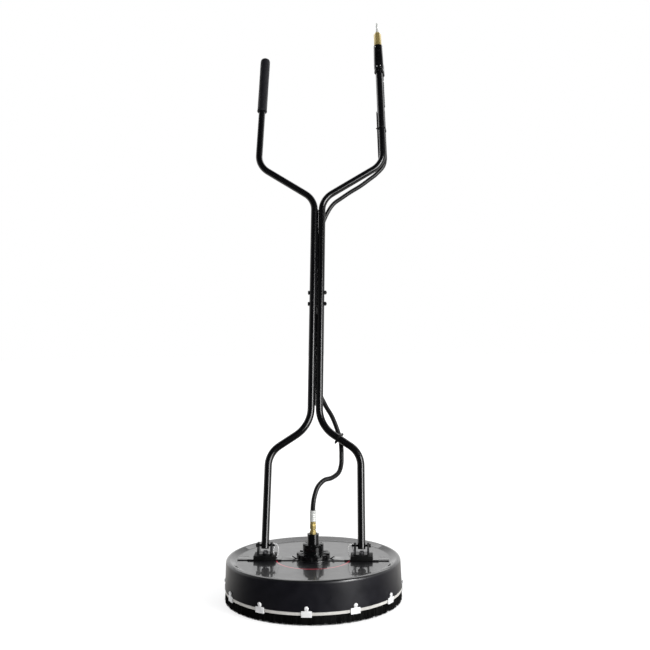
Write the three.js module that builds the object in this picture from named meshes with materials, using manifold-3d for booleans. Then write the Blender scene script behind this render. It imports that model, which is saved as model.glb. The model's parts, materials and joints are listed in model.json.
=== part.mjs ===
// Surface cleaner: a drum-shaped deck with a brush skirt, a swivel with two spray arms inside it,
// and a two-tube handle that leans back on two pivots and carries the water hose and the trigger.
// Millimetres, +Z up. X runs across the machine, -Y is its front and the handle leans back to +Y.

import * as THREE from 'three';
import { mergeVertices } from 'three/addons/utils/BufferGeometryUtils.js';
import Module from 'manifold-3d';

const wasm = await Module();
wasm.setup();

// ---------------------------------------------------------------- driving dimensions

const clearance = 0.3; // between pieces that touch

// deck and skirt
const brushRadius = 230;
const brushWidth = 11;
const bristleLength = 24.4;
const channelHeight = 7.6;
const channelWidth = 10;
const channelWall = 1.4;
const deckTopHeight = 106;
const deckTopInset = 3.9; // from the brush's edge to the deck's
const deckWall = 2.5;
const deckShoulder = 8;
const rimWidth = 2;
const plateauDrop = 7.5;
const plateauInset = 25;
const ringSides = 48;

// skirt clips
const clipCount = 12;
const clipWidth = 25.5;
const clipHeight = 15;
const clipThickness = 1.5;
const clipScrewLift = 13.8; // screw above the middle of the channel
const clipTabWidth = 9;
const screwRadius = 3;
const screwHeadRadius = 5.3;
const screwHeadHeight = 3.2;
const nutFlats = 10;
const nutHeight = 5;
const boltHeadHeight = 4;

// handle pivots
const pivotHalfSpacing = 125.8;
const pivotAbovePlateau = 35.9;
const handleLean = 20; // degrees from upright
const isolatorWidth = 57;
const isolatorDepth = 44;
const isolatorHeight = 12.2;
const clevisInnerWidth = 29;
const clevisWall = 5;
const clevisDepth = 32;
const clevisBase = 3.5;
const clevisTopAbovePivot = 8;
const bracketBoltHalfSpacing = 8;
const clevisShoulder = 8; // height of an ear's straight foot
const pivotPinRadius = 3;
const pivotPinHeadRadius = 5;
const pivotPinHeadHeight = 4;
const pivotPinStandOut = 6.6;

// mounting frame under the pivots and the swivel
const frameThickness = 3.5;
const frameEndGap = 4.6; // from the plateau's edge
const frameBarWidth = 36;
const frameBarThickness = 1.8;
const padWidth = 88;
const padDepth = 40;
const tabLength = 14;
const tabHalfWidth = 5;
const tabRise = 30; // degrees that a tab bends up

// swivel
const flangeRadius = 43.5;
const flangeHeight = 13;
const flangeNotches = 8;
const flangeNotchDepth = 3.7;
const flangeBoltRadius = 36;
const swivelRadius = 27;
const swivelBodyAbovePlateau = 23.5;
const swivelBelowPlateau = 28.5;
const swivelCapHeight = 17.2;
const capNotches = 6;
const capNotchWidth = 7;
const capNotchDepth = 3.5;
const inletBossRadius = 14.25;
const inletBossHeight = 26;
const inletSocketDepth = 3;
const bearingRadius = 17.5;
const bearingHeight = 11;
const shaftRadius = 7.5;
const shaftBoreRadius = 3;
const sealWidth = 5;
const sealHeight = 6;
const sealPocket = 9; // depth of the seal's pocket below the top of the body

// rotor
const armsBelowSwivel = 20;
const hubRadius = 22;
const hubHeight = 18;
const armRadius = 6.7;
const armBoreRadius = 4;
const armEndInset = 40; // from the brush's edge
const armBendRadius = 16;
const nozzleTilt = 20; // degrees, so that the jets turn the rotor
const nozzleLength = 18;
const nozzleFlats = 14;
const nozzleTipRadius = 4.5;
const jetRadius = 1.2;

// inlet line on the swivel
const nippleFlats = 16;
const nippleHeight = 15.8;
const nippleBore = 3;
const hoseNutHeight = 15.6;
const hoseRadius = 6.25;
const ferruleHeight = 29.1;
const ferruleWall = 1.75;
const ferruleGrip = 20; // how far the hose goes into its ferrule

// handle tubes, in the handle's own plane: X across, Z along the handle from its pivots
const tubeRadius = 10;
const tubeWall = 1.5;
const pairGap = 2.6;
const tubeFoot = 8.6;
const forkCornerHeight = 243;
const forkTopHeight = 318.5;
const forkNarrowing = 1.8;
const gripTopHeight = 1484;
const topRun = 368; // the straight top of each tube
const leftArm = { cornerHalfWidth: 182, topHalfWidth: 173.2 };
const rightArm = { cornerHalfWidth: 192.5, topHalfWidth: 181 };
const armRise = 115.5; // from the pair's end to the corner of the arms
const spliceBelowArms = 312.5;
const spliceInsert = 40;
const spliceSwage = 8; // wall of the lower tube that runs in to the insert
const spliceBoltOffset = 17;
const bendRadius = { forkCorner: 65, forkTop: 90, armRoot: 62, armCorner: 65 };
const webHalfLength = 9;
const webHalfDepth = 4;

// grip, valve and trigger, with heights along the straight top of each tube
const gripRadius = 14.5;
const gripBelowEnd = 181;
const gripLength = 188;
const valveRadius = 15;
const valveBelowEnd = 51;
const valveLength = 98;
const valveSocket = 13;
const portRadius = 11;
const portAcross = 6.1;
const portLength = 40;
const adapterFlats = 20.5;
const adapterLength = 48;
const threadRadius = 6.7;
const plugRadius = 6.5;
const plugLength = 35;
const triggerHingeGap = 6; // from the valve's side back to the hinge
const triggerHingeLift = 43; // above the valve's foot
const triggerEarThickness = 3;
const triggerEarHalfHeight = 8;
const triggerOpening = 6; // degrees that the lever stands off at rest
const triggerNeckCentre = -7.9;
const triggerNeckWidth = 5;
const triggerWidth = 27;
const triggerDepth = 13;
const triggerWall = 2;
const triggerTop = 156; // both below the hinge
const triggerBottom = 314;
const triggerPinRadius = 2.5;
const stemRadius = 2.2;
const stemBelowHinge = 20;

// hose
const fittingLength = 112; // from the valve's foot down to the end of the top ferrule
const fittingFlats = 15;
const hoseSides = 8;
const hoseStep = 31;

// ---------------------------------------------------------------- sizes that follow from these

const radians = THREE.MathUtils.degToRad;
const hexRadius = (flats) => flats / 2 / Math.cos(Math.PI / 6);
const facetDrop = Math.cos(Math.PI / ringSides);
const channelOuter = brushRadius - 1.5;
const channelTop = bristleLength + channelHeight;
const shellBottom = channelTop + clearance;
const shellBottomRadius = channelOuter + 0.5;
const deckTopRadius = brushRadius - deckTopInset;
const shoulderHeight = deckTopHeight - deckShoulder;
const plateauHeight = deckTopHeight - plateauDrop;
const plateauRadius = deckTopRadius - plateauInset;
const plateauUnderside = plateauHeight - deckWall;
const swivelBodyTop = plateauHeight + swivelBodyAbovePlateau;
const swivelCapTop = swivelBodyTop + swivelCapHeight;
const swivelBottom = plateauHeight - swivelBelowPlateau;
const inletBossTop = swivelCapTop + inletBossHeight;
const nippleTop = inletBossTop + nippleHeight;
const hoseNutTop = nippleTop + hoseNutHeight;
const ferruleTop = hoseNutTop + ferruleHeight;
const ferruleRadius = hoseRadius + ferruleWall;
const rotorHeight = swivelBottom - armsBelowSwivel; // middle of the spray arms
const armReach = brushRadius - armEndInset;
const pivotHeight = plateauHeight + pivotAbovePlateau;
const frameHalfLength = plateauRadius - frameEndGap;
const spigotRadius = swivelRadius - 1;
const deckHoleRadius = spigotRadius + clearance;
const holeRadius = screwRadius + clearance;
const nutRadius = hexRadius(nutFlats);
const frameTop = plateauHeight + clearance + frameThickness;
const isolatorTop = plateauHeight + clearance + isolatorHeight;
const clevisBottom = isolatorTop + clearance;
const clevisTop = pivotHeight + clevisTopAbovePivot;
const clevisOuter = clevisInnerWidth / 2 + clevisWall;
const flangeBottom = frameTop + clearance;
const flangeTop = flangeBottom + flangeHeight;
const boltSeat = flangeTop - flangeNotchDepth;
const tubeBore = tubeRadius - tubeWall;
const pairHalfSpacing = tubeRadius + pairGap / 2;
const swageRadius = tubeBore - clearance;
const armCornerHeight = gripTopHeight - topRun;
const armRootHeight = armCornerHeight - armRise;
const spliceHeight = armRootHeight - spliceBelowArms;
const spliceBoltHeights = [spliceHeight - spliceBoltOffset, spliceHeight + spliceBoltOffset];
const armLean = (arm) => Math.atan2(arm.cornerHalfWidth - arm.topHalfWidth, topRun);
const gripStart = topRun - gripBelowEnd;
const valveStart = topRun - valveBelowEnd;
const fittingEnd = valveStart - fittingLength;
const portBehind = tubeRadius + ferruleRadius - 0.5;
const triggerHingeBehind = valveRadius + triggerHingeGap;
const triggerHingeHeight = valveStart + triggerHingeLift;
const flangeNotchWidth = 2 * nutRadius + 1.5;
const shellRadiusAt = (z) => THREE.MathUtils.mapLinear(
  z, shellBottom, shoulderHeight, shellBottomRadius, deckTopRadius);

// ---------------------------------------------------------------- making solids

/** A geometry with positions only, its shared corners merged and its empty triangles dropped. */
function bare(geometry) {
  const plain = geometry.clone();
  plain.deleteAttribute('normal');
  plain.deleteAttribute('uv');
  const merged = mergeVertices(plain, 1e-4);
  const corners = merged.index.array;
  const kept = [];
  for (let i = 0; i < corners.length; i += 3) {
    const [a, b, c] = [corners[i], corners[i + 1], corners[i + 2]];
    if (a !== b && b !== c && c !== a) {
      kept.push(a, b, c);
    }
  }
  merged.setIndex(kept);
  merged.computeVertexNormals();
  return merged;
}

function toSolid(geometry) {
  const shape = bare(geometry);
  return new wasm.Manifold(new wasm.Mesh({
    numProp: 3,
    vertProperties: new Float32Array(shape.attributes.position.array),
    triVerts: new Uint32Array(shape.index.array),
  }));
}

function fromSolid(solid) {
  const mesh = solid.getMesh();
  const geometry = new THREE.BufferGeometry();
  geometry.setAttribute('position', new THREE.BufferAttribute(mesh.vertProperties, 3));
  geometry.setIndex(new THREE.BufferAttribute(mesh.triVerts, 1));
  geometry.computeVertexNormals();
  return geometry;
}

const join = (...parts) => fromSolid(parts.map(toSolid).reduce((whole, part) => whole.add(part)));

const cut = (base, ...tools) => fromSolid(
  tools.map(toSolid).reduce((rest, tool) => rest.subtract(tool), toSolid(base)));

/** A box between two corners. */
function box([x0, y0, z0], [x1, y1, z1]) {
  return new THREE.BoxGeometry(x1 - x0, y1 - y0, z1 - z0)
    .translate((x0 + x1) / 2, (y0 + y1) / 2, (z0 + z1) / 2);
}

/** A cylinder along an axis, from one station to another; `at` is its place across the axis. */
function rod(axis, radius, from, to, at = [0, 0], sides = 12) {
  const cylinder = new THREE.CylinderGeometry(radius, radius, to - from, sides);
  cylinder.translate(0, (from + to) / 2, 0);
  if (axis === 'x') {
    return cylinder.rotateZ(-Math.PI / 2).translate(0, at[0], at[1]);
  }
  if (axis === 'y') {
    return cylinder.translate(at[0], 0, at[1]);
  }
  return cylinder.rotateX(Math.PI / 2).translate(at[0], at[1], 0);
}

const hex = (axis, flats, from, to, at) => rod(axis, hexRadius(flats), from, to, at, 6);

/** A solid turned about Z from [radius, height] pairs that run up its outer side. */
function turned(outline, sides = 16) {
  const points = outline.map(([radius, height]) => new THREE.Vector2(radius, height));
  if (outline[0][0] > 0) {
    points.push(points[0].clone());
  }
  return new THREE.LatheGeometry(points, sides).rotateX(Math.PI / 2);
}

/** A path of straight runs joined by arcs, with one station at each change of direction. */
class BentPath extends THREE.Curve {
  constructor(corners, radii, stepsPerBend = 4) {
    super();
    this.stations = [];
    const last = corners.length - 1;
    this.addStation(corners[0], corners[1].clone().sub(corners[0]));
    for (let i = 1; i < last; i += 1) {
      const into = corners[i].clone().sub(corners[i - 1]).normalize();
      const away = corners[i + 1].clone().sub(corners[i]).normalize();
      const turn = into.angleTo(away);
      const setback = radii[i - 1] * Math.tan(turn / 2);
      const inward = away.clone().sub(into).projectOnPlane(into).normalize();
      const centre = corners[i].clone().addScaledVector(into, -setback)
        .addScaledVector(inward, radii[i - 1]);
      for (let step = 0; step <= stepsPerBend; step += 1) {
        const angle = (turn * step) / stepsPerBend;
        const point = centre.clone().addScaledVector(inward, -radii[i - 1] * Math.cos(angle))
          .addScaledVector(into, radii[i - 1] * Math.sin(angle));
        const heading = into.clone().multiplyScalar(Math.cos(angle))
          .addScaledVector(inward, Math.sin(angle));
        this.addStation(point, heading);
      }
    }
    this.addStation(corners[last], corners[last].clone().sub(corners[last - 1]));
  }

  addStation(point, heading) {
    this.stations.push({ point: point.clone(), heading: heading.clone().normalize() });
  }

  stationAt(u) {
    return this.stations[Math.round(u * (this.stations.length - 1))];
  }

  getPoint(u, target = new THREE.Vector3()) {
    return target.copy(this.stationAt(u).point);
  }

  getPointAt(u, target) {
    return this.getPoint(u, target);
  }

  getTangentAt(u, target = new THREE.Vector3()) {
    return target.copy(this.stationAt(u).heading);
  }
}

/** A round bar, or a tube when it has a bore, along a path. */
function swept(path, radius, bore = 0, sides = 12, steps = path.stations.length - 1) {
  const section = new THREE.Shape().absarc(0, 0, radius, 0, 2 * Math.PI, false);
  if (bore > 0) {
    section.holes.push(new THREE.Path().absarc(0, 0, bore, 0, 2 * Math.PI, true));
  }
  return new THREE.ExtrudeGeometry(section, { steps, curveSegments: sides / 2, extrudePath: path });
}

/** An outline in the YZ plane, given a thickness along X. */
function plateAcrossX(outline, from, to) {
  const shape = new THREE.Shape(outline.map(([y, z]) => new THREE.Vector2(y, z)));
  const plate = new THREE.ExtrudeGeometry(shape, { depth: to - from, bevelEnabled: false });
  return plate.rotateY(Math.PI / 2).rotateX(Math.PI / 2).translate(from, 0, 0);
}

const finishes = {
  glossBlack: [0x0c0c0e, 0.12, 0.2],
  satinBlack: [0x18181c, 0.45, 0.1],
  rubber: [0x1c1c1e, 0.85, 0],
  bristle: [0x0a0a0b, 0.9, 0],
  steel: [0xc9c9cc, 0.3, 0.9],
  brass: [0xb8923a, 0.3, 0.9],
  grip: [0x333338, 0.7, 0],
  hose: [0x1a1a1b, 0.5, 0],
};

function piece(name, geometry, finish) {
  const [color, roughness, metalness] = finishes[finish];
  const material = new THREE.MeshStandardMaterial({ color, roughness, metalness });
  const mesh = new THREE.Mesh(bare(geometry), material);
  mesh.name = name;
  return mesh;
}

// ---------------------------------------------------------------- deck

/** Hex-headed bolt along Z with its nut below; the head sits on `seat`, the nut under `under`. */
function boltAlongZ(x, y, seat, under) {
  const nutTop = under - clearance;
  return join(
    hex('z', nutFlats, seat + clearance, seat + clearance + boltHeadHeight, [x, y]),
    rod('z', screwRadius, nutTop - nutHeight - 2, seat + clearance + 1, [x, y], 8),
    hex('z', nutFlats, nutTop - nutHeight, nutTop, [x, y]),
  );
}

const clipAngles = Array.from({ length: clipCount }, (_, i) => (i * 2 * Math.PI) / clipCount);
const clipMiddle = bristleLength + channelHeight / 2;
const clipScrewHeight = clipMiddle + clipScrewLift;

const flangeBoltPlaces = Array.from({ length: 4 }, (_, i) => {
  const angle = Math.PI / flangeNotches + (i * Math.PI) / 2;
  return [flangeBoltRadius * Math.cos(angle), flangeBoltRadius * Math.sin(angle)];
});

const bracketBoltPlaces = [-1, 1].flatMap((side) => [-1, 1].map(
  (end) => [side * pivotHalfSpacing, end * bracketBoltHalfSpacing]));

const deckBoltHoles = (from, to) => [...flangeBoltPlaces, ...bracketBoltPlaces].map(
  (place) => rod('z', holeRadius, from, to, place, 8));

function deckShell() {
  const inside = deckShoulder - deckWall;
  const centre = deckTopRadius - deckShoulder;
  const slopeTop = centre - rimWidth;
  const shoulder = [30, 60, 90].map(radians);
  const outline = [
    [shellBottomRadius, shellBottom],
    [deckTopRadius, shoulderHeight],
    ...shoulder.map((a) => [centre + deckShoulder * Math.cos(a),
      shoulderHeight + deckShoulder * Math.sin(a)]),
    [slopeTop, deckTopHeight],
    [plateauRadius, plateauHeight],
    [deckHoleRadius, plateauHeight],
    [deckHoleRadius, plateauUnderside],
    [plateauRadius, plateauUnderside],
    [slopeTop, deckTopHeight - deckWall],
    ...shoulder.toReversed().map((a) => [centre + inside * Math.cos(a),
      shoulderHeight + inside * Math.sin(a)]),
    [deckTopRadius - deckWall, shoulderHeight],
    [shellBottomRadius - deckWall, shellBottom],
  ];
  const screwHoles = clipAngles.map((angle) => rod(
    'x', holeRadius, shellRadiusAt(clipScrewHeight) - 3 * deckWall,
    shellRadiusAt(clipScrewHeight) + deckWall, [0, clipScrewHeight], 6).rotateZ(angle));
  return cut(turned(outline, ringSides), ...screwHoles,
    ...deckBoltHoles(plateauUnderside - deckWall, plateauHeight + deckWall));
}

function skirtChannel() {
  const inner = channelOuter - channelWidth;
  return turned([
    [channelOuter, bristleLength],
    [channelOuter, channelTop],
    [inner, channelTop],
    [inner, bristleLength],
    [inner + channelWall, bristleLength],
    [inner + channelWall, channelTop - channelWall],
    [channelOuter - channelWall, channelTop - channelWall],
    [channelOuter - channelWall, bristleLength],
  ], ringSides);
}

function skirtBristles() {
  const rootOuter = channelOuter - channelWall - clearance;
  const rootInner = channelOuter - channelWidth + channelWall + clearance;
  return turned([
    [brushRadius - brushWidth, 0],
    [brushRadius, 0],
    [rootOuter, bristleLength - 4],
    [rootOuter, channelTop - channelWall - clearance],
    [rootInner, channelTop - channelWall - clearance],
    [rootInner, bristleLength - 4],
  ], ringSides);
}

/** One clip, made for the +X side: hook, plate, tab and the screw that holds it to the shell. */
function skirtClip() {
  const back = shellBottomRadius + clearance;
  const front = back + clipThickness;
  const bottom = clipMiddle - clipHeight / 2;
  const nutFace = (shellRadiusAt(clipScrewHeight + nutRadius) - deckWall) * facetDrop - clearance;
  const dome = turned([
    [0, 0],
    [screwHeadRadius, 0],
    [screwHeadRadius * 0.8, screwHeadHeight * 0.6],
    [0, screwHeadHeight],
  ], 8).rotateY(Math.PI / 2).translate(front - 0.2, 0, clipScrewHeight);
  return join(
    box([back, -clipWidth / 2, bottom], [front, clipWidth / 2, bottom + clipHeight]),
    box([channelOuter - channelWall, -clipWidth / 2, bristleLength - clearance - clipThickness],
      [back + 0.5, clipWidth / 2, bristleLength - clearance]),
    box([back, -clipTabWidth / 2, clipMiddle], [front, clipTabWidth / 2, clipScrewHeight + 2]),
    dome,
    rod('x', screwRadius, nutFace - nutHeight - 1, front, [0, clipScrewHeight], 6),
    hex('x', nutFlats, nutFace - nutHeight, nutFace, [0, clipScrewHeight]),
  );
}

function mountingFrame() {
  const low = plateauHeight + clearance;
  const tabOut = tabLength * Math.cos(radians(tabRise));
  const tabUp = tabLength * Math.sin(radians(tabRise));
  const ringRadius = flangeRadius - 0.5;
  const bar = box([-frameHalfLength, -frameBarWidth / 2, low],
    [frameHalfLength, frameBarWidth / 2, low + frameBarThickness]);
  const pads = [-1, 1].map((side) => box(
    [side * pivotHalfSpacing - padWidth / 2, -padDepth / 2, low],
    [side * pivotHalfSpacing + padWidth / 2, padDepth / 2, frameTop]));
  const tabOutline = [
    [ringRadius - 3, low],
    [ringRadius + 1, low],
    [ringRadius + tabOut, low + tabUp],
    [ringRadius + tabOut - 1, low + tabUp + 2.2],
    [ringRadius, frameTop - 0.6],
    [ringRadius - 3, frameTop - 0.6],
  ];
  const tabs = [0, Math.PI].map((angle) => plateAcrossX(tabOutline, -tabHalfWidth, tabHalfWidth)
    .rotateZ(angle - Math.PI / 2));
  const ring = rod('z', ringRadius, low, frameTop, [0, 0], 24);
  return cut(join(bar, ring, ...pads, ...tabs),
    rod('z', deckHoleRadius, low - 1, frameTop + 1, [0, 0], 24),
    ...deckBoltHoles(low - 1, frameTop + 1));
}

function isolator(side) {
  const x = side * pivotHalfSpacing;
  const low = plateauHeight + clearance;
  const block = box([x - isolatorWidth / 2, -isolatorDepth / 2, low],
    [x + isolatorWidth / 2, isolatorDepth / 2, isolatorTop]);
  const padSlot = box([x - isolatorWidth, -padDepth / 2 - clearance, low - 1],
    [x + isolatorWidth, padDepth / 2 + clearance, frameTop + clearance]);
  return cut(block, padSlot, ...deckBoltHoles(low, isolatorTop + 1));
}

function clevis(side) {
  const x = side * pivotHalfSpacing;
  const base = box([x - clevisOuter, -clevisDepth / 2, clevisBottom],
    [x + clevisOuter, clevisDepth / 2, clevisBottom + clevisBase]);
  const top = clevisTop;
  const earOutline = [
    [-clevisDepth / 2, clevisBottom],
    [clevisDepth / 2, clevisBottom],
    [clevisDepth / 2, clevisBottom + clevisShoulder],
    [7, top - 2],
    [4, top],
    [-4, top],
    [-7, top - 2],
    [-clevisDepth / 2, clevisBottom + clevisShoulder],
  ];
  const ears = [-1, 1].map((end) => {
    const middle = x + end * (clevisOuter - clevisWall / 2);
    return plateAcrossX(earOutline, middle - clevisWall / 2, middle + clevisWall / 2);
  });
  return cut(join(base, ...ears),
    rod('x', pivotPinRadius + clearance, x - 2 * clevisOuter, x + 2 * clevisOuter,
      [0, pivotHeight], 12),
    ...deckBoltHoles(clevisBottom - 1, clevisBottom + clevisBase + 1));
}

/** Pivot pin with its head on the outer ear; the plain end stands out of the inner ear. */
function pivotPin(side) {
  const outer = clevisOuter + clearance;
  const pin = join(
    rod('x', pivotPinHeadRadius, outer, outer + pivotPinHeadHeight),
    rod('x', pivotPinRadius, -clevisOuter - pivotPinStandOut, outer + 1),
  );
  if (side < 0) {
    pin.rotateZ(Math.PI);
  }
  return pin.translate(side * pivotHalfSpacing, 0, pivotHeight);
}

// ---------------------------------------------------------------- swivel

function notches(count, width, inner, outer, low, high) {
  return Array.from({ length: count }, (_, i) => box(
    [inner, -width / 2, low], [outer, width / 2, high])
    .rotateZ(((i + 0.5) * 2 * Math.PI) / count));
}

function swivelHousing() {
  const bearingBore = bearingRadius + clearance;
  const sealShoulder = swivelBodyTop - sealPocket;
  const body = turned([
    [bearingBore, swivelBottom],
    [spigotRadius, swivelBottom],
    [spigotRadius, flangeBottom],
    [flangeRadius, flangeBottom],
    [flangeRadius, flangeTop],
    [swivelRadius, flangeTop],
    [swivelRadius, swivelBodyTop],
    [shaftRadius + sealWidth, swivelBodyTop],
    [shaftRadius + sealWidth, sealShoulder],
    [bearingBore, sealShoulder],
  ], 24);
  return cut(body,
    ...notches(flangeNotches, flangeNotchWidth, swivelRadius + 1, flangeRadius + 1,
      boltSeat, flangeTop + 1),
    ...deckBoltHoles(flangeBottom - 1, flangeTop + 1));
}

function swivelCap() {
  const low = swivelBodyTop + clearance;
  const socketRadius = hexRadius(nippleFlats) + 0.8;
  const socketFloor = inletBossTop - inletSocketDepth;
  const cap = turned([
    [shaftRadius + 4, low],
    [swivelRadius, low],
    [swivelRadius, swivelCapTop],
    [inletBossRadius, swivelCapTop],
    [inletBossRadius, inletBossTop - 1.5],
    [inletBossRadius - 1.5, inletBossTop],
    [socketRadius, inletBossTop],
    [socketRadius, socketFloor],
    [threadRadius + clearance, socketFloor],
    [threadRadius + clearance, socketFloor - 11],
    [shaftBoreRadius, socketFloor - 11],
    [shaftBoreRadius, swivelCapTop - 4],
    [shaftRadius + 4, swivelCapTop - 4],
  ], 20);
  return cut(cap, ...notches(capNotches, capNotchWidth, inletBossRadius + 5, swivelRadius + 1,
    swivelCapTop - capNotchDepth, swivelCapTop + 1));
}

const bearing = (low) => turned([
  [shaftRadius + clearance, low],
  [bearingRadius, low],
  [bearingRadius, low + bearingHeight],
  [shaftRadius + clearance, low + bearingHeight],
]);

function shaftSeal() {
  const low = swivelBodyTop - sealPocket + clearance;
  const [inner, outer] = [shaftRadius + clearance, shaftRadius + sealWidth - clearance];
  return turned([
    [inner, low],
    [outer, low],
    [outer, low + sealHeight],
    [inner, low + sealHeight],
  ]);
}

function inletNipple() {
  const seat = inletBossTop - inletSocketDepth + clearance;
  return join(
    turned([
      [nippleBore, seat - 10],
      [threadRadius, seat - 10],
      [threadRadius, seat + 6],
      [threadRadius - 0.5, nippleTop - 5],
      [threadRadius - 1.5, nippleTop],
      [nippleBore, nippleTop],
    ], 16),
    cut(hex('z', nippleFlats, seat, seat + 10), rod('z', 4, seat - 1, seat + 11)),
  );
}

function hoseNut() {
  const low = nippleTop - 4;
  return cut(hex('z', nippleFlats - 1, low, hoseNutTop),
    rod('z', threadRadius, low - 1, low + 5),
    rod('z', nippleBore, low, hoseNutTop + 1));
}

const hoseFerrule = () => turned([
  [nippleBore, hoseNutTop + clearance],
  [ferruleRadius, hoseNutTop + clearance],
  [ferruleRadius, ferruleTop - 1],
  [ferruleRadius - 0.6, ferruleTop],
  [hoseRadius + clearance, ferruleTop],
  [hoseRadius + clearance, ferruleTop - ferruleGrip],
  [nippleBore, ferruleTop - ferruleGrip],
], 16);

// ---------------------------------------------------------------- rotor

function rotorShaft() {
  const bottom = rotorHeight - 6;
  const top = swivelCapTop - 7;
  const collarTop = swivelBottom + 1 - clearance;
  return cut(
    turned([
      [0, bottom],
      [shaftRadius, bottom],
      [shaftRadius, collarTop - 4],
      [shaftRadius + 3, collarTop - 4],
      [shaftRadius + 3, collarTop],
      [shaftRadius, collarTop],
      [shaftRadius, top],
      [0, top],
    ]),
    rod('z', shaftBoreRadius, rotorHeight, top + 1),
    rod('x', shaftBoreRadius, -hubRadius, hubRadius, [0, rotorHeight], 12),
  );
}

function rotorHub() {
  const low = rotorHeight - hubHeight / 2;
  return cut(rod('z', hubRadius, low, low + hubHeight, [0, 0], 20),
    rod('z', shaftRadius + clearance, rotorHeight - 6 - clearance, low + hubHeight + 1, [0, 0], 16),
    rod('x', armRadius + clearance, -hubRadius - 1, hubRadius + 1, [0, rotorHeight]));
}

/** The end of the spray arm that points to +X: where it stops and which way its nozzle looks. */
function armEnd() {
  const down = new THREE.Vector3(0, -Math.sin(radians(nozzleTilt)), -Math.cos(radians(nozzleTilt)));
  const corner = new THREE.Vector3(armReach, 0, rotorHeight);
  return { corner, down, stop: corner.clone().addScaledVector(down, armBendRadius + 1) };
}

function sprayArm() {
  const { corner, stop } = armEnd();
  const root = new THREE.Vector3(shaftRadius + 2 * clearance, 0, rotorHeight);
  return swept(new BentPath([root, corner, stop], [armBendRadius]), armRadius - 0.2, armBoreRadius);
}

/** Nozzle on the end of that arm, hexagonal with a stepped tip and a drilled jet. */
function nozzle() {
  const { down, stop } = armEnd();
  const drilled = cut(
    join(hex('z', nozzleFlats, -nozzleLength * 0.6, 0), rod('z', nozzleTipRadius, -nozzleLength, -1)),
    rod('z', jetRadius, -nozzleLength - 1, 1, [0, 0], 8),
  );
  const turn = new THREE.Quaternion().setFromUnitVectors(new THREE.Vector3(0, 0, -1), down);
  const place = stop.clone().addScaledVector(down, clearance);
  return drilled.applyQuaternion(turn).translate(place.x, place.y, place.z);
}

// ---------------------------------------------------------------- handle

/** A corner of the handle's plane. */
const inPlane = (x, z) => new THREE.Vector3(x, 0, z);

const spliceBoltHole = (height) => rod('x', holeRadius, -60, 60, [0, height], 12);

/** Lower tube: foot on the pivot, up the fork leg, in to the pair and up to the splice. */
function lowerTube(side) {
  const path = new BentPath([
    inPlane(side * pivotHalfSpacing, -tubeFoot),
    inPlane(side * (pivotHalfSpacing - forkNarrowing), forkCornerHeight),
    inPlane(side * pairHalfSpacing, forkTopHeight),
    inPlane(side * pairHalfSpacing, spliceHeight - clearance),
  ], [bendRadius.forkCorner, bendRadius.forkTop]);
  const swage = turned([
    [swageRadius - tubeWall, spliceHeight - spliceSwage],
    [tubeBore + 0.5, spliceHeight - spliceSwage],
    [tubeBore + 0.5, spliceHeight - clearance],
    [swageRadius, spliceHeight - clearance],
    [swageRadius, spliceHeight + spliceInsert],
    [swageRadius - tubeWall, spliceHeight + spliceInsert],
  ], 12).translate(side * pairHalfSpacing, 0, 0);
  const web = side < 0 ? [webPlate(forkTopHeight + bendRadius.forkTop * 0.85)] : [];
  return cut(join(swept(path, tubeRadius, tubeBore), swage, ...web),
    rod('x', pivotPinRadius + clearance, -2 * pivotHalfSpacing, 2 * pivotHalfSpacing),
    ...spliceBoltHeights.map(spliceBoltHole));
}

/** The welded web between the two tubes of a pair; it is one piece with the left tube. */
function webPlate(height) {
  return box([-pairGap / 2 - 1, -webHalfDepth, height - webHalfLength],
    [pairGap / 2 - clearance, webHalfDepth, height + webHalfLength]);
}

/** Upper tube: from the splice up the pair, out to the hand width and up to its end. */
function upperTube(side, end) {
  const { cornerHalfWidth, topHalfWidth } = side < 0 ? leftArm : rightArm;
  const stop = (end - armCornerHeight) / topRun;
  const endHalfWidth = THREE.MathUtils.lerp(cornerHalfWidth, topHalfWidth, stop);
  const path = new BentPath([
    inPlane(side * pairHalfSpacing, spliceHeight),
    inPlane(side * pairHalfSpacing, armRootHeight),
    inPlane(side * cornerHalfWidth, armCornerHeight),
    inPlane(side * endHalfWidth, end),
  ], [bendRadius.armRoot, bendRadius.armCorner]);
  const web = side < 0 ? [webPlate(armRootHeight - bendRadius.armRoot * 0.65)] : [];
  return cut(join(swept(path, tubeRadius, tubeBore), ...web),
    spliceBoltHole(spliceBoltHeights[1]));
}

/** Bolt across the pair, head on the left and nut on the right. */
function spliceBolt(height) {
  const face = pairHalfSpacing + tubeRadius + clearance;
  return join(
    hex('x', nutFlats, -face - boltHeadHeight, -face, [0, height]),
    rod('x', screwRadius, -face - 1, face + nutHeight + 1.5, [0, height]),
    hex('x', nutFlats, face, face + nutHeight, [0, height]),
  );
}

function leftGrip() {
  const end = gripStart + gripLength;
  return turned([
    [tubeRadius + clearance, gripStart],
    [gripRadius, gripStart],
    [gripRadius, end - 6],
    [gripRadius * 0.87, end - 2],
    [gripRadius * 0.55, end],
    [0, end],
    [0, topRun + clearance],
    [tubeRadius + clearance, topRun + clearance],
  ], 20);
}

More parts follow.
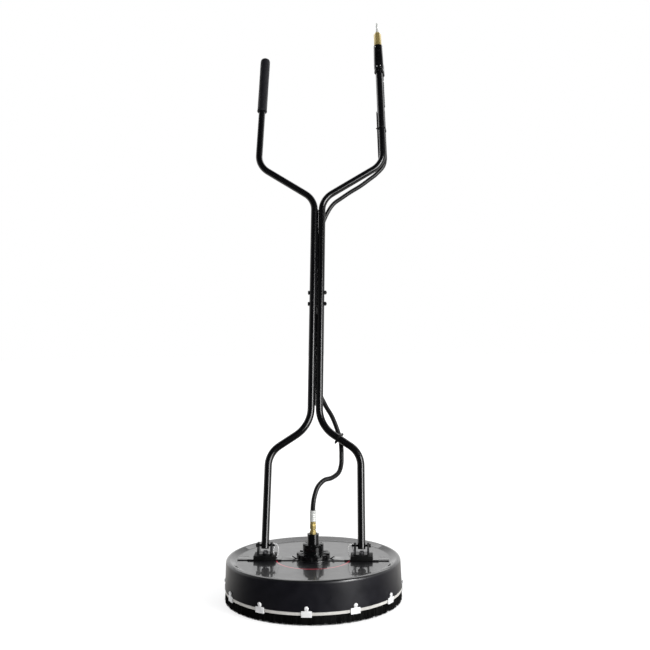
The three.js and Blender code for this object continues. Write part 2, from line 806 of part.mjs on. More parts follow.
/** Valve body: socket for the tube, rear port for the hose, ears for the lever, inlet on top. */
function valveHousing() {
  const end = valveStart + valveLength;
  const portEnd = valveStart + portLength;
  const [left, right] = [-1, 1].map((way) => triggerNeckCentre
    + way * (triggerNeckWidth / 2 + 2 * clearance));
  const earReach = triggerHingeBehind + 5.5;
  const ear = (from, to) => box([from, 8, triggerHingeHeight - triggerEarHalfHeight],
    [to, earReach, triggerHingeHeight + triggerEarHalfHeight]);
  const body = turned([
    [0, valveStart],
    [valveRadius, valveStart],
    [valveRadius, end - 3],
    [valveRadius - 4, end],
    [0, end],
  ], 20);
  return cut(
    join(body,
      rod('z', portRadius, valveStart, portEnd, [portAcross, portBehind], 16),
      box([portAcross - 6, 11, valveStart], [portAcross + 5, portBehind, portEnd]),
      ear(left - triggerEarThickness, left), ear(right, right + triggerEarThickness)),
    rod('z', tubeRadius + clearance, valveStart - 1, valveStart + valveSocket + clearance,
      [0, 0], 16),
    rod('z', 4, valveStart + valveSocket + 16, end + 1),
    rod('z', threadRadius + clearance, end - 14, end + 1),
    rod('z', threadRadius, valveStart - 1, valveStart + 14, [portAcross, portBehind]),
    rod('z', 4, valveStart, portEnd - 2, [portAcross, portBehind]),
    rod('y', 2.5, 0, portBehind, [portAcross - 3, portEnd - 5], 8),
    rod('x', triggerPinRadius + clearance, left - 4, right + 4,
      [triggerHingeBehind, triggerHingeHeight], 12),
    rod('y', stemRadius + clearance, 2, valveRadius + 12,
      [triggerNeckCentre, triggerHingeHeight - stemBelowHinge], 12),
  );
}

function triggerPin() {
  const reach = triggerNeckWidth / 2 + 2 * clearance + triggerEarThickness;
  return rod('x', triggerPinRadius, triggerNeckCentre - reach - 1, triggerNeckCentre + reach,
    [triggerHingeBehind, triggerHingeHeight], 12);
}

/** Valve stem, pushed into the housing by the lever's neck. */
function valveStem() {
  const opening = radians(triggerOpening);
  const neckFace = triggerHingeBehind - 3 * Math.cos(opening) + stemBelowHinge * Math.sin(opening);
  return rod('y', stemRadius, 4.5, neckFace - 2 * clearance,
    [triggerNeckCentre, triggerHingeHeight - stemBelowHinge], 12);
}

/** Lever about its hinge as it is when squeezed; a turn about X then opens it. */
function triggerLever() {
  const inside = portBehind + hoseRadius + 1 - triggerHingeBehind;
  const web = inside + triggerDepth;
  const half = triggerNeckWidth / 2;
  const neck = plateAcrossX([
    [-3, 3], [-1, 6], [3, 6], [6, 3],
    [6, -triggerTop + 16], [web - 1, -triggerTop - 6], [web - 1, -triggerTop - 34],
    [inside, -triggerTop - 34], [-3, -triggerTop + 4],
  ].toReversed(), triggerNeckCentre - half, triggerNeckCentre + half);
  const channel = plateAcrossX([
    [inside, -triggerTop], [web, -triggerTop],
    [web, -triggerBottom], [inside, -triggerBottom + 5],
  ].toReversed(), -triggerWidth / 2, triggerWidth / 2);
  const trough = box([-triggerWidth / 2 + triggerWall, inside - 1, -triggerBottom - 1],
    [triggerWidth / 2 - triggerWall, web - triggerWall, -triggerTop + 1]);
  return cut(join(cut(channel, trough), neck),
    rod('x', triggerPinRadius + clearance, triggerNeckCentre - triggerWidth,
      triggerNeckCentre + triggerWidth));
}

function inletAdapter() {
  const low = valveStart + valveLength + clearance;
  return cut(
    join(
      rod('z', threadRadius, low - 13, low + 1),
      turned([
        [0, low],
        [10, low],
        [hexRadius(adapterFlats), low + 3],
        [hexRadius(adapterFlats), low + adapterLength - 4],
        [8.5, low + adapterLength],
        [0, low + adapterLength],
      ], 6).rotateZ(radians(30)),
    ),
    rod('z', 3, low - 14, low + adapterLength + 1),
    rod('z', 5.3, low + adapterLength - 9, low + adapterLength + 1),
  );
}

/** Plug that a quick coupler snaps onto: collar, cone, locking groove and nose. */
function quickPlug() {
  const low = valveStart + valveLength + adapterLength + 2 * clearance;
  return turned([
    [2, low - 8],
    [5, low - 8],
    [5, low],
    [plugRadius, low],
    [plugRadius, low + 3],
    [4.1, low + 11],
    [3.2, low + 12],
    [3.2, low + 15],
    [4, low + 17],
    [4, low + plugLength - 2],
    [3.3, low + plugLength],
    [2, low + plugLength],
  ], 16);
}

/** Steel end of the hose: thread in the port, hexagon and long crimped ferrule. */
function topFitting() {
  const at = [portAcross, portBehind];
  return cut(
    join(
      rod('z', threadRadius - clearance, fittingEnd + ferruleGrip, valveStart + 12, at),
      hex('z', fittingFlats, valveStart - 16, valveStart - clearance, at),
      rod('z', ferruleRadius, fittingEnd, valveStart - 24, at),
    ),
    rod('z', hoseRadius + clearance, fittingEnd - 1, fittingEnd + ferruleGrip, at),
    rod('z', nippleBore, fittingEnd, valveStart + 13, at, 8),
  );
}

// ---------------------------------------------------------------- hose

/** Route behind the handle tubes, in the handle's frame, from the top ferrule to the fork tie. */
function upperHoseRoute(arm) {
  const inArm = (height) => new THREE.Vector3(portAcross, portBehind, height)
    .applyMatrix4(arm.matrix);
  const behind = (x, z) => new THREE.Vector3(x, portBehind, z);
  const fromCorner = (x, z) => behind(rightArm.cornerHalfWidth + x, armCornerHeight + z);
  const alongPair = (x, share) => behind(
    x, THREE.MathUtils.lerp(forkTopHeight, armRootHeight, share));
  return new THREE.CatmullRomCurve3([
    inArm(fittingEnd + ferruleGrip - clearance),
    inArm(fittingEnd - 40),
    inArm(fittingEnd - 110),
    inArm(55),
    fromCorner(8, 5),
    fromCorner(-18, -26),
    fromCorner(-43, -45),
    fromCorner(-69, -65),
    fromCorner(-98, -84),
    fromCorner(-124, -103),
    fromCorner(-148, -122),
    alongPair(27, 0.95),
    alongPair(10, 0.88),
    alongPair(4, 0.78),
    alongPair(3, 0.56),
    alongPair(3, 0.35),
    alongPair(4, 0.17),
    alongPair(26, 0.09),
    behind(44, forkTopHeight + 30.5),
    behind(54, forkTopHeight + 7.5),
    behind(64, forkTopHeight - 20.5),
  ], false, 'centripetal');
}

const hoseSteps = (route) => Math.round(route.getLength() / hoseStep);

/** The free part: from the fork tie forward and down into the swivel's ferrule. */
function lowerHoseRoute(tiePoint, heading) {
  return new THREE.CatmullRomCurve3([
    tiePoint.clone().addScaledVector(heading, clearance),
    tiePoint.clone().addScaledVector(heading, 2 * hoseRadius),
    new THREE.Vector3(70.5, 107, 371),
    new THREE.Vector3(70.3, 100, 352),
    new THREE.Vector3(69, 88, 332),
    new THREE.Vector3(62, 69, 314),
    new THREE.Vector3(44, 47, 303),
    new THREE.Vector3(27, 32, 297),
    new THREE.Vector3(11.5, 15, 281),
    new THREE.Vector3(4.5, 6, 261),
    new THREE.Vector3(1, 1, 242),
    new THREE.Vector3(0, 0, ferruleTop),
    new THREE.Vector3(0, 0, ferruleTop - ferruleGrip + clearance),
  ], false, 'centripetal');
}

// ---------------------------------------------------------------- assembly

const machine = new THREE.Group();

const deck = new THREE.Group();
deck.add(
  piece('deck_shell', deckShell(), 'glossBlack'),
  piece('skirt_channel', skirtChannel(), 'steel'),
  piece('skirt_bristles', skirtBristles(), 'bristle'),
  piece('mounting_frame', mountingFrame(), 'glossBlack'),
  piece('isolator_left', isolator(-1), 'rubber'),
  piece('isolator_right', isolator(1), 'rubber'),
  piece('clevis_left', clevis(-1), 'glossBlack'),
  piece('clevis_right', clevis(1), 'glossBlack'),
  piece('pivot_pin_left', pivotPin(-1), 'glossBlack'),
  piece('pivot_pin_right', pivotPin(1), 'glossBlack'),
  piece('swivel_housing', swivelHousing(), 'glossBlack'),
  piece('swivel_cap', swivelCap(), 'glossBlack'),
  piece('upper_bearing',
    bearing(swivelBodyTop - sealPocket - clearance - bearingHeight), 'steel'),
  piece('lower_bearing', bearing(swivelBottom + 1), 'steel'),
  piece('shaft_seal', shaftSeal(), 'rubber'),
  piece('inlet_nipple', inletNipple(), 'brass'),
  piece('hose_nut', hoseNut(), 'brass'),
  piece('hose_ferrule', hoseFerrule(), 'steel'),
);
clipAngles.forEach((angle, i) => {
  const clip = piece(`skirt_clip_${String(i + 1).padStart(2, '0')}`, skirtClip(), 'steel');
  clip.rotation.z = angle - Math.PI / 2;
  deck.add(clip);
});
flangeBoltPlaces.forEach(([x, y], i) => {
  const bolt = boltAlongZ(x, y, boltSeat, plateauUnderside);
  deck.add(piece(`swivel_bolt_${i + 1}`, bolt, 'glossBlack'));
});
bracketBoltPlaces.forEach(([x, y], i) => {
  const bolt = boltAlongZ(x, y, clevisBottom + clevisBase, plateauUnderside);
  deck.add(piece(`bracket_bolt_${i + 1}`, bolt, 'steel'));
});
machine.add(deck);

const rotor = new THREE.Group();
rotor.add(
  piece('rotor_shaft', rotorShaft(), 'steel'),
  piece('rotor_hub', rotorHub(), 'steel'),
);
['a', 'b'].forEach((letter, i) => {
  const arm = new THREE.Group();
  arm.rotation.z = i * Math.PI;
  arm.add(
    piece(`spray_arm_${letter}`, sprayArm(), 'steel'),
    piece(`nozzle_${letter}`, nozzle(), 'brass'),
  );
  rotor.add(arm);
});
machine.add(rotor);

const handle = new THREE.Group();
handle.position.z = pivotHeight;
handle.rotation.x = -radians(handleLean);
handle.updateMatrix();

const leftTop = new THREE.Group();
leftTop.position.set(-leftArm.cornerHalfWidth, 0, armCornerHeight);
leftTop.rotation.y = armLean(leftArm);

const rightTop = new THREE.Group();
rightTop.position.set(rightArm.cornerHalfWidth, 0, armCornerHeight);
rightTop.rotation.y = -armLean(rightArm);
rightTop.updateMatrix();

leftTop.add(piece('left_grip', leftGrip(), 'grip'));

const lever = piece('trigger_lever', triggerLever(), 'grip');
lever.position.set(0, triggerHingeBehind, triggerHingeHeight);
lever.rotation.x = radians(triggerOpening);

rightTop.add(
  piece('valve_housing', valveHousing(), 'glossBlack'),
  piece('inlet_adapter', inletAdapter(), 'brass'),
  piece('quick_plug', quickPlug(), 'steel'),
  piece('hose_fitting_top', topFitting(), 'steel'),
  piece('trigger_pin', triggerPin(), 'steel'),
  piece('valve_stem', valveStem(), 'steel'),
  lever,
);

const upperRoute = upperHoseRoute(rightTop);
const tiePoint = upperRoute.points.at(-1).clone().applyMatrix4(handle.matrix);
const tieHeading = upperRoute.getTangent(1).transformDirection(handle.matrix);
const lowerRoute = lowerHoseRoute(tiePoint, tieHeading);

handle.add(
  piece('lower_left_tube', lowerTube(-1), 'glossBlack'),
  piece('lower_right_tube', lowerTube(1), 'glossBlack'),
  piece('upper_left_tube', upperTube(-1, gripTopHeight), 'glossBlack'),
  piece('upper_right_tube',
    upperTube(1, armCornerHeight + valveStart + valveSocket), 'glossBlack'),
  piece('splice_bolt_lower', spliceBolt(spliceBoltHeights[0]), 'steel'),
  piece('splice_bolt_upper', spliceBolt(spliceBoltHeights[1]), 'steel'),
  piece('hose_upper', swept(upperRoute, hoseRadius, 0, hoseSides, hoseSteps(upperRoute)), 'hose'),
  leftTop,
  rightTop,
);
machine.add(handle);
machine.add(piece('hose_lower',
  swept(lowerRoute, hoseRadius, 0, hoseSides, hoseSteps(lowerRoute) + 8), 'hose'));

// the origin is on the floor, under the middle of the whole machine's box
const whole = new THREE.Box3().setFromObject(machine, true);
const middle = whole.getCenter(new THREE.Vector3());
machine.position.set(-middle.x, -middle.y, -whole.min.z);

const part = new THREE.Group();
part.add(machine);

export default part;
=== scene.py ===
# %% [markdown]
# A surface cleaner, piece by piece
#
# The machine is a drum-shaped deck with a brush skirt, a swivel on its middle and a leaning handle of
# two bent tubes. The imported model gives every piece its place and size. These cells build finer pieces
# over it and give each one its finish.

# %% Load the frame
import json
import math
import random

import bpy
from mathutils import Matrix, Vector


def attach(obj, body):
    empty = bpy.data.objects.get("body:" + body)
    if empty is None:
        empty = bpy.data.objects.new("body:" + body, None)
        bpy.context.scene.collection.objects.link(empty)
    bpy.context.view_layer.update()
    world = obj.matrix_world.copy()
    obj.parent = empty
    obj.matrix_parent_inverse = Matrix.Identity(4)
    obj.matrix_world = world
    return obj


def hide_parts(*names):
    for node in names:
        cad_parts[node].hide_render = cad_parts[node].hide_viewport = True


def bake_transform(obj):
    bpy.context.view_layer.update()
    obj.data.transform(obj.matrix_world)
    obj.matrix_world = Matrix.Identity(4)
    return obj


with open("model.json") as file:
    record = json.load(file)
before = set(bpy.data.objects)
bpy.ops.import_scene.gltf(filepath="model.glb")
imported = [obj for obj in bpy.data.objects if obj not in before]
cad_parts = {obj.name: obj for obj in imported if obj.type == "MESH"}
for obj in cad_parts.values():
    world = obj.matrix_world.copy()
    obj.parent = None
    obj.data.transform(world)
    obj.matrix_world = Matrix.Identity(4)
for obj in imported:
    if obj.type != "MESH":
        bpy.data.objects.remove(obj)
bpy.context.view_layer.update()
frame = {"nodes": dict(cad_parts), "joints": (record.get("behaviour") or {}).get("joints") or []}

MM = 0.001
joints = {joint["name"]: joint for joint in frame["joints"]}
swivel_axis = Vector(joints["rotor_spin"]["pos_m"])
pivot_line = Vector(joints["handle_tilt"]["pos_m"])

# %% [markdown]
# Two frames of reference
#
# Deck pieces are easiest to make about the swivel's upright axis. The handle leans back, so its pieces
# are made upright in a frame of their own and then laid back about the pivots. A matrix for each frame
# turns a simple upright model into a piece in its place. The arms at the top lean in a little more, so
# each of them gets one further frame.

# %% Frames for the deck, the handle and its two arms
LEAN = math.radians(20)
ARM_HEIGHT = 1116
ARM_RUN = 368
ARM_WIDTHS = {-1: (182, 173.2), 1: (192.5, 181)}  # from the middle to each arm, at its foot and its top


def at(x, y, z):
    """A move in millimetres."""
    return Matrix.Translation((x * MM, y * MM, z * MM))


def about_z(angle):
    return Matrix.Rotation(angle, 4, "Z")


def toward(direction):
    """The turn that takes the upward axis to a direction."""
    return Vector((0, 0, 1)).rotation_difference(Vector(direction)).to_matrix().to_4x4()


def arm_frame(side):
    foot, top = ARM_WIDTHS[side]
    inward = Matrix.Rotation(-side * math.atan2(foot - top, ARM_RUN), 4, "Y")
    return handle_frame @ at(side * foot, 0, ARM_HEIGHT) @ inward


deck_frame = Matrix.Translation((0, swivel_axis.y, 0))
handle_frame = Matrix.Translation(pivot_line) @ Matrix.Rotation(-LEAN, 4, "X")
right_arm, left_arm = arm_frame(1), arm_frame(-1)
ALONG_X = toward((1, 0, 0))
ALONG_Y = toward((0, 1, 0))
print("handle frame starts at", [round(v, 4) for v in handle_frame.translation])

# %% [markdown]
# The camera
#
# A long lens far from the machine keeps its uprights nearly parallel. The camera stands in front, a
# little to the right, at about half the height of the handle, and looks almost level. Three turns, one
# about each axis, are easier to read than a matrix of nine numbers.

# %% Camera
CAMERA_PLACE = (0.1841, -2.5737, 0.7352)
CAMERA_HEADING = math.radians(3.497)
CAMERA_PITCH = math.radians(-0.663)
CAMERA_ROLL = math.radians(-0.592)
SENSOR_WIDTH = 36
LENS = 51.67

camera_data = bpy.data.cameras.new("studio_camera")
camera_data.sensor_width = SENSOR_WIDTH
camera_data.lens = LENS
camera = bpy.data.objects.new("studio_camera", camera_data)
camera.matrix_world = (
    Matrix.Translation(CAMERA_PLACE)
    @ about_z(CAMERA_HEADING)
    @ Matrix.Rotation(math.pi / 2 + CAMERA_PITCH, 4, "X")
    @ about_z(CAMERA_ROLL)
)
bpy.context.scene.collection.objects.link(camera)
bpy.context.scene.camera = camera
print("camera", CAMERA_PLACE)

# %% [markdown]
# Tools for modelling
#
# Every operator acts on what is selected, so a clean start comes first. Most pieces here are turned or
# bent from round stock. A turned piece grows from a disc that is pushed up and widened or narrowed at
# each corner of its outline. A ring grows in the same way from an open circle and closes on itself. A
# bent tube grows from a circle that is pushed along each straight run and spun through each bend, much
# as a tube bender does it.

# %% Selection and finishing tools
def leave_edit():
    bpy.ops.object.mode_set(mode="OBJECT")


def clear_selection():
    if bpy.context.object and bpy.context.object.mode != "OBJECT":
        leave_edit()
    bpy.ops.object.select_all(action="DESELECT")


def take(piece):
    clear_selection()
    piece.select_set(True)
    bpy.context.view_layer.objects.active = piece


def settle():
    """Puts the place of what is selected into its mesh, and leaves its object at the origin."""
    bpy.ops.object.transform_apply(location=True, rotation=True, scale=True)


def lay_in(piece, place):
    take(piece)
    piece.matrix_world = place @ piece.matrix_world
    settle()
    return piece


def edit_all(piece):
    take(piece)
    bpy.ops.object.mode_set(mode="EDIT")
    bpy.ops.mesh.select_mode(type="VERT")
    bpy.ops.mesh.select_all(action="SELECT")


def circle(name, sides, radius, place, fill="NOTHING"):
    """A circle in its place, in edit mode and selected all over."""
    clear_selection()
    bpy.ops.mesh.primitive_circle_add(vertices=sides, radius=radius * MM, fill_type=fill)
    piece = bpy.context.object
    piece.name = name
    edit_all(lay_in(piece, place))
    return piece


def extrude(move):
    """Extrudes what is selected in edit mode by a move in metres."""
    bpy.ops.mesh.extrude_region_move(TRANSFORM_OT_translate={"value": move})


def tidy_mesh(piece):
    edit_all(piece)
    bpy.ops.mesh.remove_doubles(threshold=1e-6)
    bpy.ops.mesh.normals_make_consistent(inside=False)
    leave_edit()
    return piece


def modified(piece, kind, **settings):
    """Gives the piece a modifier with these settings and applies it."""
    take(piece)
    modifier = piece.modifiers.new(kind.lower(), kind)
    for key, value in settings.items():
        setattr(modifier, key, value)
    bpy.ops.object.modifier_apply(modifier=modifier.name)
    return piece


def soften(piece, width=0.0, angle=30, segments=2):
    """Rounds the sharp edges by a bevel of a width in millimetres, and shades the rest smooth."""
    if width > 0:
        modified(piece, "BEVEL", width=width * MM, segments=segments, limit_method="ANGLE",
                 angle_limit=math.radians(angle), use_clamp_overlap=True, harden_normals=False)
    take(piece)
    bpy.ops.object.shade_smooth_by_angle(angle=math.radians(angle))
    return piece


def wall(piece, thickness, inward=True):
    offset = -1 if inward else 1
    return modified(piece, "SOLIDIFY", thickness=thickness * MM, offset=offset, use_even_offset=True)


def carve(piece, tool):
    """Takes the tool's shape out of the piece."""
    modified(piece, "BOOLEAN", operation="DIFFERENCE", solver="EXACT", object=tool)
    bpy.data.objects.remove(tool)
    return piece


def joined(name, *pieces):
    clear_selection()
    for piece in pieces:
        piece.select_set(True)
    bpy.context.view_layer.objects.active = pieces[0]
    if len(pieces) > 1:
        bpy.ops.object.join()
    whole = bpy.context.object
    whole.name = whole.data.name = name
    return whole


def linked(name, data):
    """A new object with this mesh or curve."""
    piece = bpy.data.objects.new(name, data)
    data.name = name
    bpy.context.scene.collection.objects.link(piece)
    return piece


def tell(piece):
    sizes = [round(length / MM, 1) for length in piece.dimensions]
    print(piece.name, "faces", len(piece.data.polygons), "mm", sizes)
    return piece


# %% Turned pieces, rings, blocks and nuts
def turned(name, outline, sides=64, fill="NGON"):
    """A solid of revolution from [(radius, height), ...] in millimetres, made upright at the origin."""
    radius, height = outline[0]
    piece = circle(name, sides, radius, at(0, 0, height), fill)
    for next_radius, next_height in outline[1:]:
        extrude((0, 0, (next_height - height) * MM))
        share = next_radius / radius
        bpy.ops.transform.resize(value=(share, share, 1), center_override=(0, 0, 0))
        radius, height = next_radius, next_height
    return tidy_mesh(piece)


def turned_ring(name, outline, sides=64, closed=True):
    """The same with an open middle; a closed outline comes back to where it started."""
    return turned(name, outline + outline[:1] if closed else outline, sides, fill="NOTHING")


def block(name, low, high):
    """A box between two corners in millimetres."""
    clear_selection()
    middle = [(a + b) / 2 * MM for a, b in zip(low, high)]
    bpy.ops.mesh.primitive_cube_add(size=1, location=middle)
    piece = bpy.context.object
    piece.scale = [(b - a) * MM for a, b in zip(low, high)]
    settle()
    piece.name = name
    return piece


def hexagon(name, flats, low, high, chamfer=0.8):
    """A nut or bolt head, with the corners turned back at both ends."""
    corner = flats / 2 / math.cos(math.pi / 6)
    inner = corner - chamfer
    outline = [(inner, low), (corner, low + chamfer / 2), (corner, high - chamfer / 2), (inner, high)]
    return turned(name, outline, 6)


def stemmed(name, flats, low, high, chamfer, outline, sides, width):
    """A hexagon and a turned stem as one piece, each with its edges rounded."""
    head = soften(hexagon("hexagon", flats, low, high, chamfer), 0.2)
    return joined(name, head, soften(turned("stem", outline, sides), width))


# %% Bent tubes
def bent_tube(name, radius, corners, bends, sides=32, steps=12):
    """A tube without its wall, along corner points in millimetres, with a radius for each inner corner."""
    points = [Vector(corner) * MM for corner in corners]
    heading = (points[1] - points[0]).normalized()
    place = points[0]
    piece = circle(name, sides, radius, Matrix.Translation(place) @ toward(heading))
    for i, bend in enumerate(bends, start=1):
        away = (points[i + 1] - points[i]).normalized()
        turn = heading.angle(away)
        setback = bend * MM * math.tan(turn / 2)
        start = points[i] - heading * setback
        extrude(start - place)
        axis = heading.cross(away).normalized()
        centre = start + axis.cross(heading) * bend * MM
        bpy.ops.mesh.spin(steps=steps, angle=-turn, center=centre, axis=axis, use_auto_merge=False)
        place = points[i] + away * setback
        heading = away
    extrude(points[-1] - place)
    return tidy_mesh(piece)


# %% Hoses, ties and wires
def drawn(name, points, closed, **settings):
    """A curve through points in millimetres, with its settings, made a mesh."""
    curve = bpy.data.curves.new(name, "CURVE")
    for key, value in settings.items():
        setattr(curve, key, value)
    spline = curve.splines.new("POLY")
    spline.points.add(len(points) - 1)
    for knot, point in zip(spline.points, points):
        knot.co = (*[value * MM for value in point], 1)
    spline.use_cyclic_u = closed
    take(linked(name, curve))
    bpy.ops.object.convert(target="MESH")
    return tidy_mesh(bpy.context.object)


def cable(name, radius, points, sides=12, closed=False):
    """A hose or wire along smooth points in millimetres."""
    piece = drawn(name, points, closed, dimensions="3D", bevel_depth=radius * MM,
                  bevel_resolution=sides // 4, use_fill_caps=not closed)
    return soften(piece, angle=40)


def smooth_route(points, steps=8):
    """A centripetal curve through the points, the same kind that the hose's solid follows."""
    knots = [Vector(p) for p in points]
    first = knots[0] * 2 - knots[1]
    last = knots[-1] * 2 - knots[-2]
    padded_knots = [first, *knots, last]
    route = []
    for i in range(1, len(padded_knots) - 2):
        p0, p1, p2, p3 = padded_knots[i - 1:i + 3]
        d0, d1, d2 = [(b - a).length ** 0.5 for a, b in ((p0, p1), (p1, p2), (p2, p3))]
        t1 = (p1 - p0) / d0 - (p2 - p0) / (d0 + d1) + (p2 - p1) / d1
        t2 = (p2 - p1) / d1 - (p3 - p1) / (d1 + d2) + (p3 - p2) / d2
        for step in range(steps):
            t = step / steps
            route.append(
                p1 * (2 * t**3 - 3 * t**2 + 1)
                + t1 * d1 * (t**3 - 2 * t**2 + t)
                + p2 * (-2 * t**3 + 3 * t**2)
                + t2 * d1 * (t**3 - t**2)
            )
    route.append(knots[-1])
    return route


print("tools ready")

# %% [markdown]
# Effects that the finishes share
#
# Four effects come back in many finishes: a fine grain or orange peel in the surface, edges that have
# rubbed a little brighter, a thin film of dust on faces that look up, and brushed or turned lines. Each
# is one node group that puts out a mask or a height. A material places the group with its own scale and
# strength, so a change to the effect reaches every finish.

# %% Node helpers
def new_group(name, inputs, outputs):
    group = bpy.data.node_groups.new(name, "ShaderNodeTree")
    for label, default in inputs:
        socket = group.interface.new_socket(label, in_out="INPUT", socket_type="NodeSocketFloat")
        socket.default_value = default
    for label in outputs:
        group.interface.new_socket(label, in_out="OUTPUT", socket_type="NodeSocketFloat")
    return group, group.nodes.new("NodeGroupInput").outputs, group.nodes.new("NodeGroupOutput").inputs


def give(tree, socket, value):
    """Links a socket to the value's socket, or sets it to the value."""
    if isinstance(value, bpy.types.NodeSocket):
        tree.links.new(value, socket)
    else:
        socket.default_value = value


def node(tree, kind, inputs=None, **settings):
    made = tree.nodes.new("ShaderNode" + kind)
    for key, value in settings.items():
        setattr(made, key, value)
    for key, value in (inputs or {}).items():
        give(tree, made.inputs[key], value)
    return made


def math_node(tree, operation, first, second=0.0, clamp=False):
    made = node(tree, "Math", {0: first, 1: second}, operation=operation, use_clamp=clamp)
    return made.outputs[0]


def spread(tree, value, low, high, to_low=0.0, to_high=1.0):
    """Maps a span of values to another, and holds it there."""
    inputs = {0: value, 1: low, 2: high, 3: to_low, 4: to_high}
    return node(tree, "MapRange", inputs, clamp=True).outputs[0]


def mixed(tree, factor, first, second):
    """One colour over another by a mask; a colour is a socket or three numbers."""
    made = node(tree, "Mix", {"Factor": factor}, data_type="RGBA")
    for key, colour in (("A", first), ("B", second)):
        give(tree, made.inputs[key], colour if isinstance(colour, bpy.types.NodeSocket) else (*colour, 1))
    return made.outputs["Result"]


def object_place(tree):
    return node(tree, "TexCoord").outputs["Object"]


def noise(tree, place, scale, detail, **more):
    return node(tree, "TexNoise", {"Vector": place, "Scale": scale, "Detail": detail, **more}).outputs[0]


def facing_up(tree, low, high):
    """A mask of the faces that look up."""
    normal = node(tree, "NewGeometry").outputs["Normal"]
    return spread(tree, node(tree, "SeparateXYZ", {0: normal}).outputs["Z"], low, high)


# %% Grain, edge rub, dust and turned lines
grain_inputs = [("Scale", 400.0), ("Roughness", 0.5)]
grain_group, start, end = new_group("fine grain", grain_inputs, ["Height", "Patches"])
place = object_place(grain_group)
broad_scale = math_node(grain_group, "MULTIPLY", start["Scale"], 0.05)
give(grain_group, end["Height"], noise(grain_group, place, start["Scale"], 3.0, Roughness=start["Roughness"]))
give(grain_group, end["Patches"], noise(grain_group, place, broad_scale, 4.0))

rub_group, start, end = new_group("edge rub", [("Reach", 0.5), ("Scale", 120.0)], ["Mask"])
edge = spread(rub_group, node(rub_group, "NewGeometry").outputs["Pointiness"], 0.52, 0.60)
broken = spread(rub_group, noise(rub_group, object_place(rub_group), start["Scale"], 5.0), 0.42, 0.62)
rubbed = math_node(rub_group, "MULTIPLY", edge, broken)
give(rub_group, end["Mask"], math_node(rub_group, "MULTIPLY", rubbed, start["Reach"], clamp=True))

dust_group, start, end = new_group("settled dust", [("Amount", 0.1), ("Scale", 35.0)], ["Mask"])
cloud = noise(dust_group, object_place(dust_group), start["Scale"], 8.0, Roughness=0.7)
upward = facing_up(dust_group, 0.1, 0.9)
dusty = math_node(dust_group, "MULTIPLY", upward, spread(dust_group, cloud, 0.35, 0.75))
give(dust_group, end["Mask"], math_node(dust_group, "MULTIPLY", dusty, start["Amount"], clamp=True))

lines_group, start, end = new_group("turned lines", [("Scale", 900.0)], ["Height"])
across = {"Vector": object_place(lines_group), "Scale": (0.04, 0.04, 1.0)}
across = node(lines_group, "Mapping", across).outputs[0]
give(lines_group, end["Height"], noise(lines_group, across, start["Scale"], 2.0))
print("groups", [group.name for group in bpy.data.node_groups])

# %% [markdown]
# The finishes
#
# One function lays out what most finishes have in common: a base colour that patches and dust change a
# little, a roughness that varies, and a fine height for the bump. Colour, gloss and metal are plain
# numbers on the shader. A finish that needs more, such as the deck's paint with its printed arc, has a
# layout of its own.

# %% One layout for most finishes
DUST = (0.32, 0.31, 0.29)
PATCH_SPAN = (0.35, 0.65)


def new_material(name):
    material = bpy.data.materials.new(name)
    material.use_nodes = True
    material.node_tree.nodes.clear()
    return material, material.node_tree


def finish(name, colour, roughness, metal=0.0, rub_colour=None, rub=0.0, dust=0.0, grain=500.0,
           bump=0.05, depth=0.0002, vary=0.12, lines=None, coat=0.0, specular=0.5):
    material, tree = new_material(name)
    shader = node(tree, "BsdfPrincipled", {"Metallic": metal, "Coat Weight": coat,
                  "Coat Roughness": 0.05, "Specular IOR Level": specular})
    node(tree, "OutputMaterial", {"Surface": shader.outputs[0]})
    surface = node(tree, "Group", {"Scale": grain}, node_tree=grain_group)
    patches, height = surface.outputs["Patches"], surface.outputs["Height"]
    darker, lighter = ([value * share for value in colour] for share in (1 - vary, 1 + vary))
    base = mixed(tree, spread(tree, patches, *PATCH_SPAN), darker, lighter)
    gloss = spread(tree, patches, 0.3, 0.7, roughness * (1 - vary), min(1.0, roughness * (1 + vary)))
    if rub > 0:
        edges = node(tree, "Group", {"Reach": rub}, node_tree=rub_group)
        base = mixed(tree, edges.outputs["Mask"], base, rub_colour)
    if dust > 0:
        film = node(tree, "Group", {"Amount": dust}, node_tree=dust_group).outputs["Mask"]
        base = mixed(tree, film, base, DUST)
        gloss = math_node(tree, "ADD", gloss, math_node(tree, "MULTIPLY", film, 0.5), clamp=True)
    if lines:
        turning = node(tree, "Group", {"Scale": lines}, node_tree=lines_group)
        height = math_node(tree, "ADD", math_node(tree, "MULTIPLY", height, 0.3), turning.outputs["Height"])
    relief = node(tree, "Bump", {"Strength": bump, "Distance": depth, "Height": height})
    for key, value in (("Base Color", base), ("Roughness", gloss), ("Normal", relief.outputs[0])):
        give(tree, shader.inputs[key], value)
    return material


# %% Finishes
PALE_METAL = (0.55, 0.55, 0.56)
tube_gloss = finish("tube gloss", (0.0018, 0.0018, 0.0022), 0.20, grain=120.0, bump=0.02, depth=0.0001)
casting_gloss = finish("casting gloss", (0.0018, 0.0018, 0.0020), 0.13, rub_colour=PALE_METAL, rub=0.03,
                       grain=400.0, bump=0.04, specular=0.35)
bracket_black = finish("bracket black", (0.0028, 0.0028, 0.0032), 0.30, rub_colour=PALE_METAL, rub=0.12,
                       grain=800.0, bump=0.10, specular=0.3)
bar_gloss = finish("bar gloss", (0.003, 0.003, 0.004), 0.30, grain=300.0, bump=0.02, depth=0.0001, coat=1.0)
dull_steel = finish("dull steel", (0.06, 0.06, 0.065), 0.50, metal=0.6, rub_colour=PALE_METAL, rub=0.1,
                    bump=0.08)
zinc_steel = finish("zinc steel", (0.66, 0.66, 0.66), 0.42, metal=0.10, rub_colour=(0.85, 0.85, 0.85),
                    rub=0.3, grain=260.0, bump=0.12, vary=0.10)
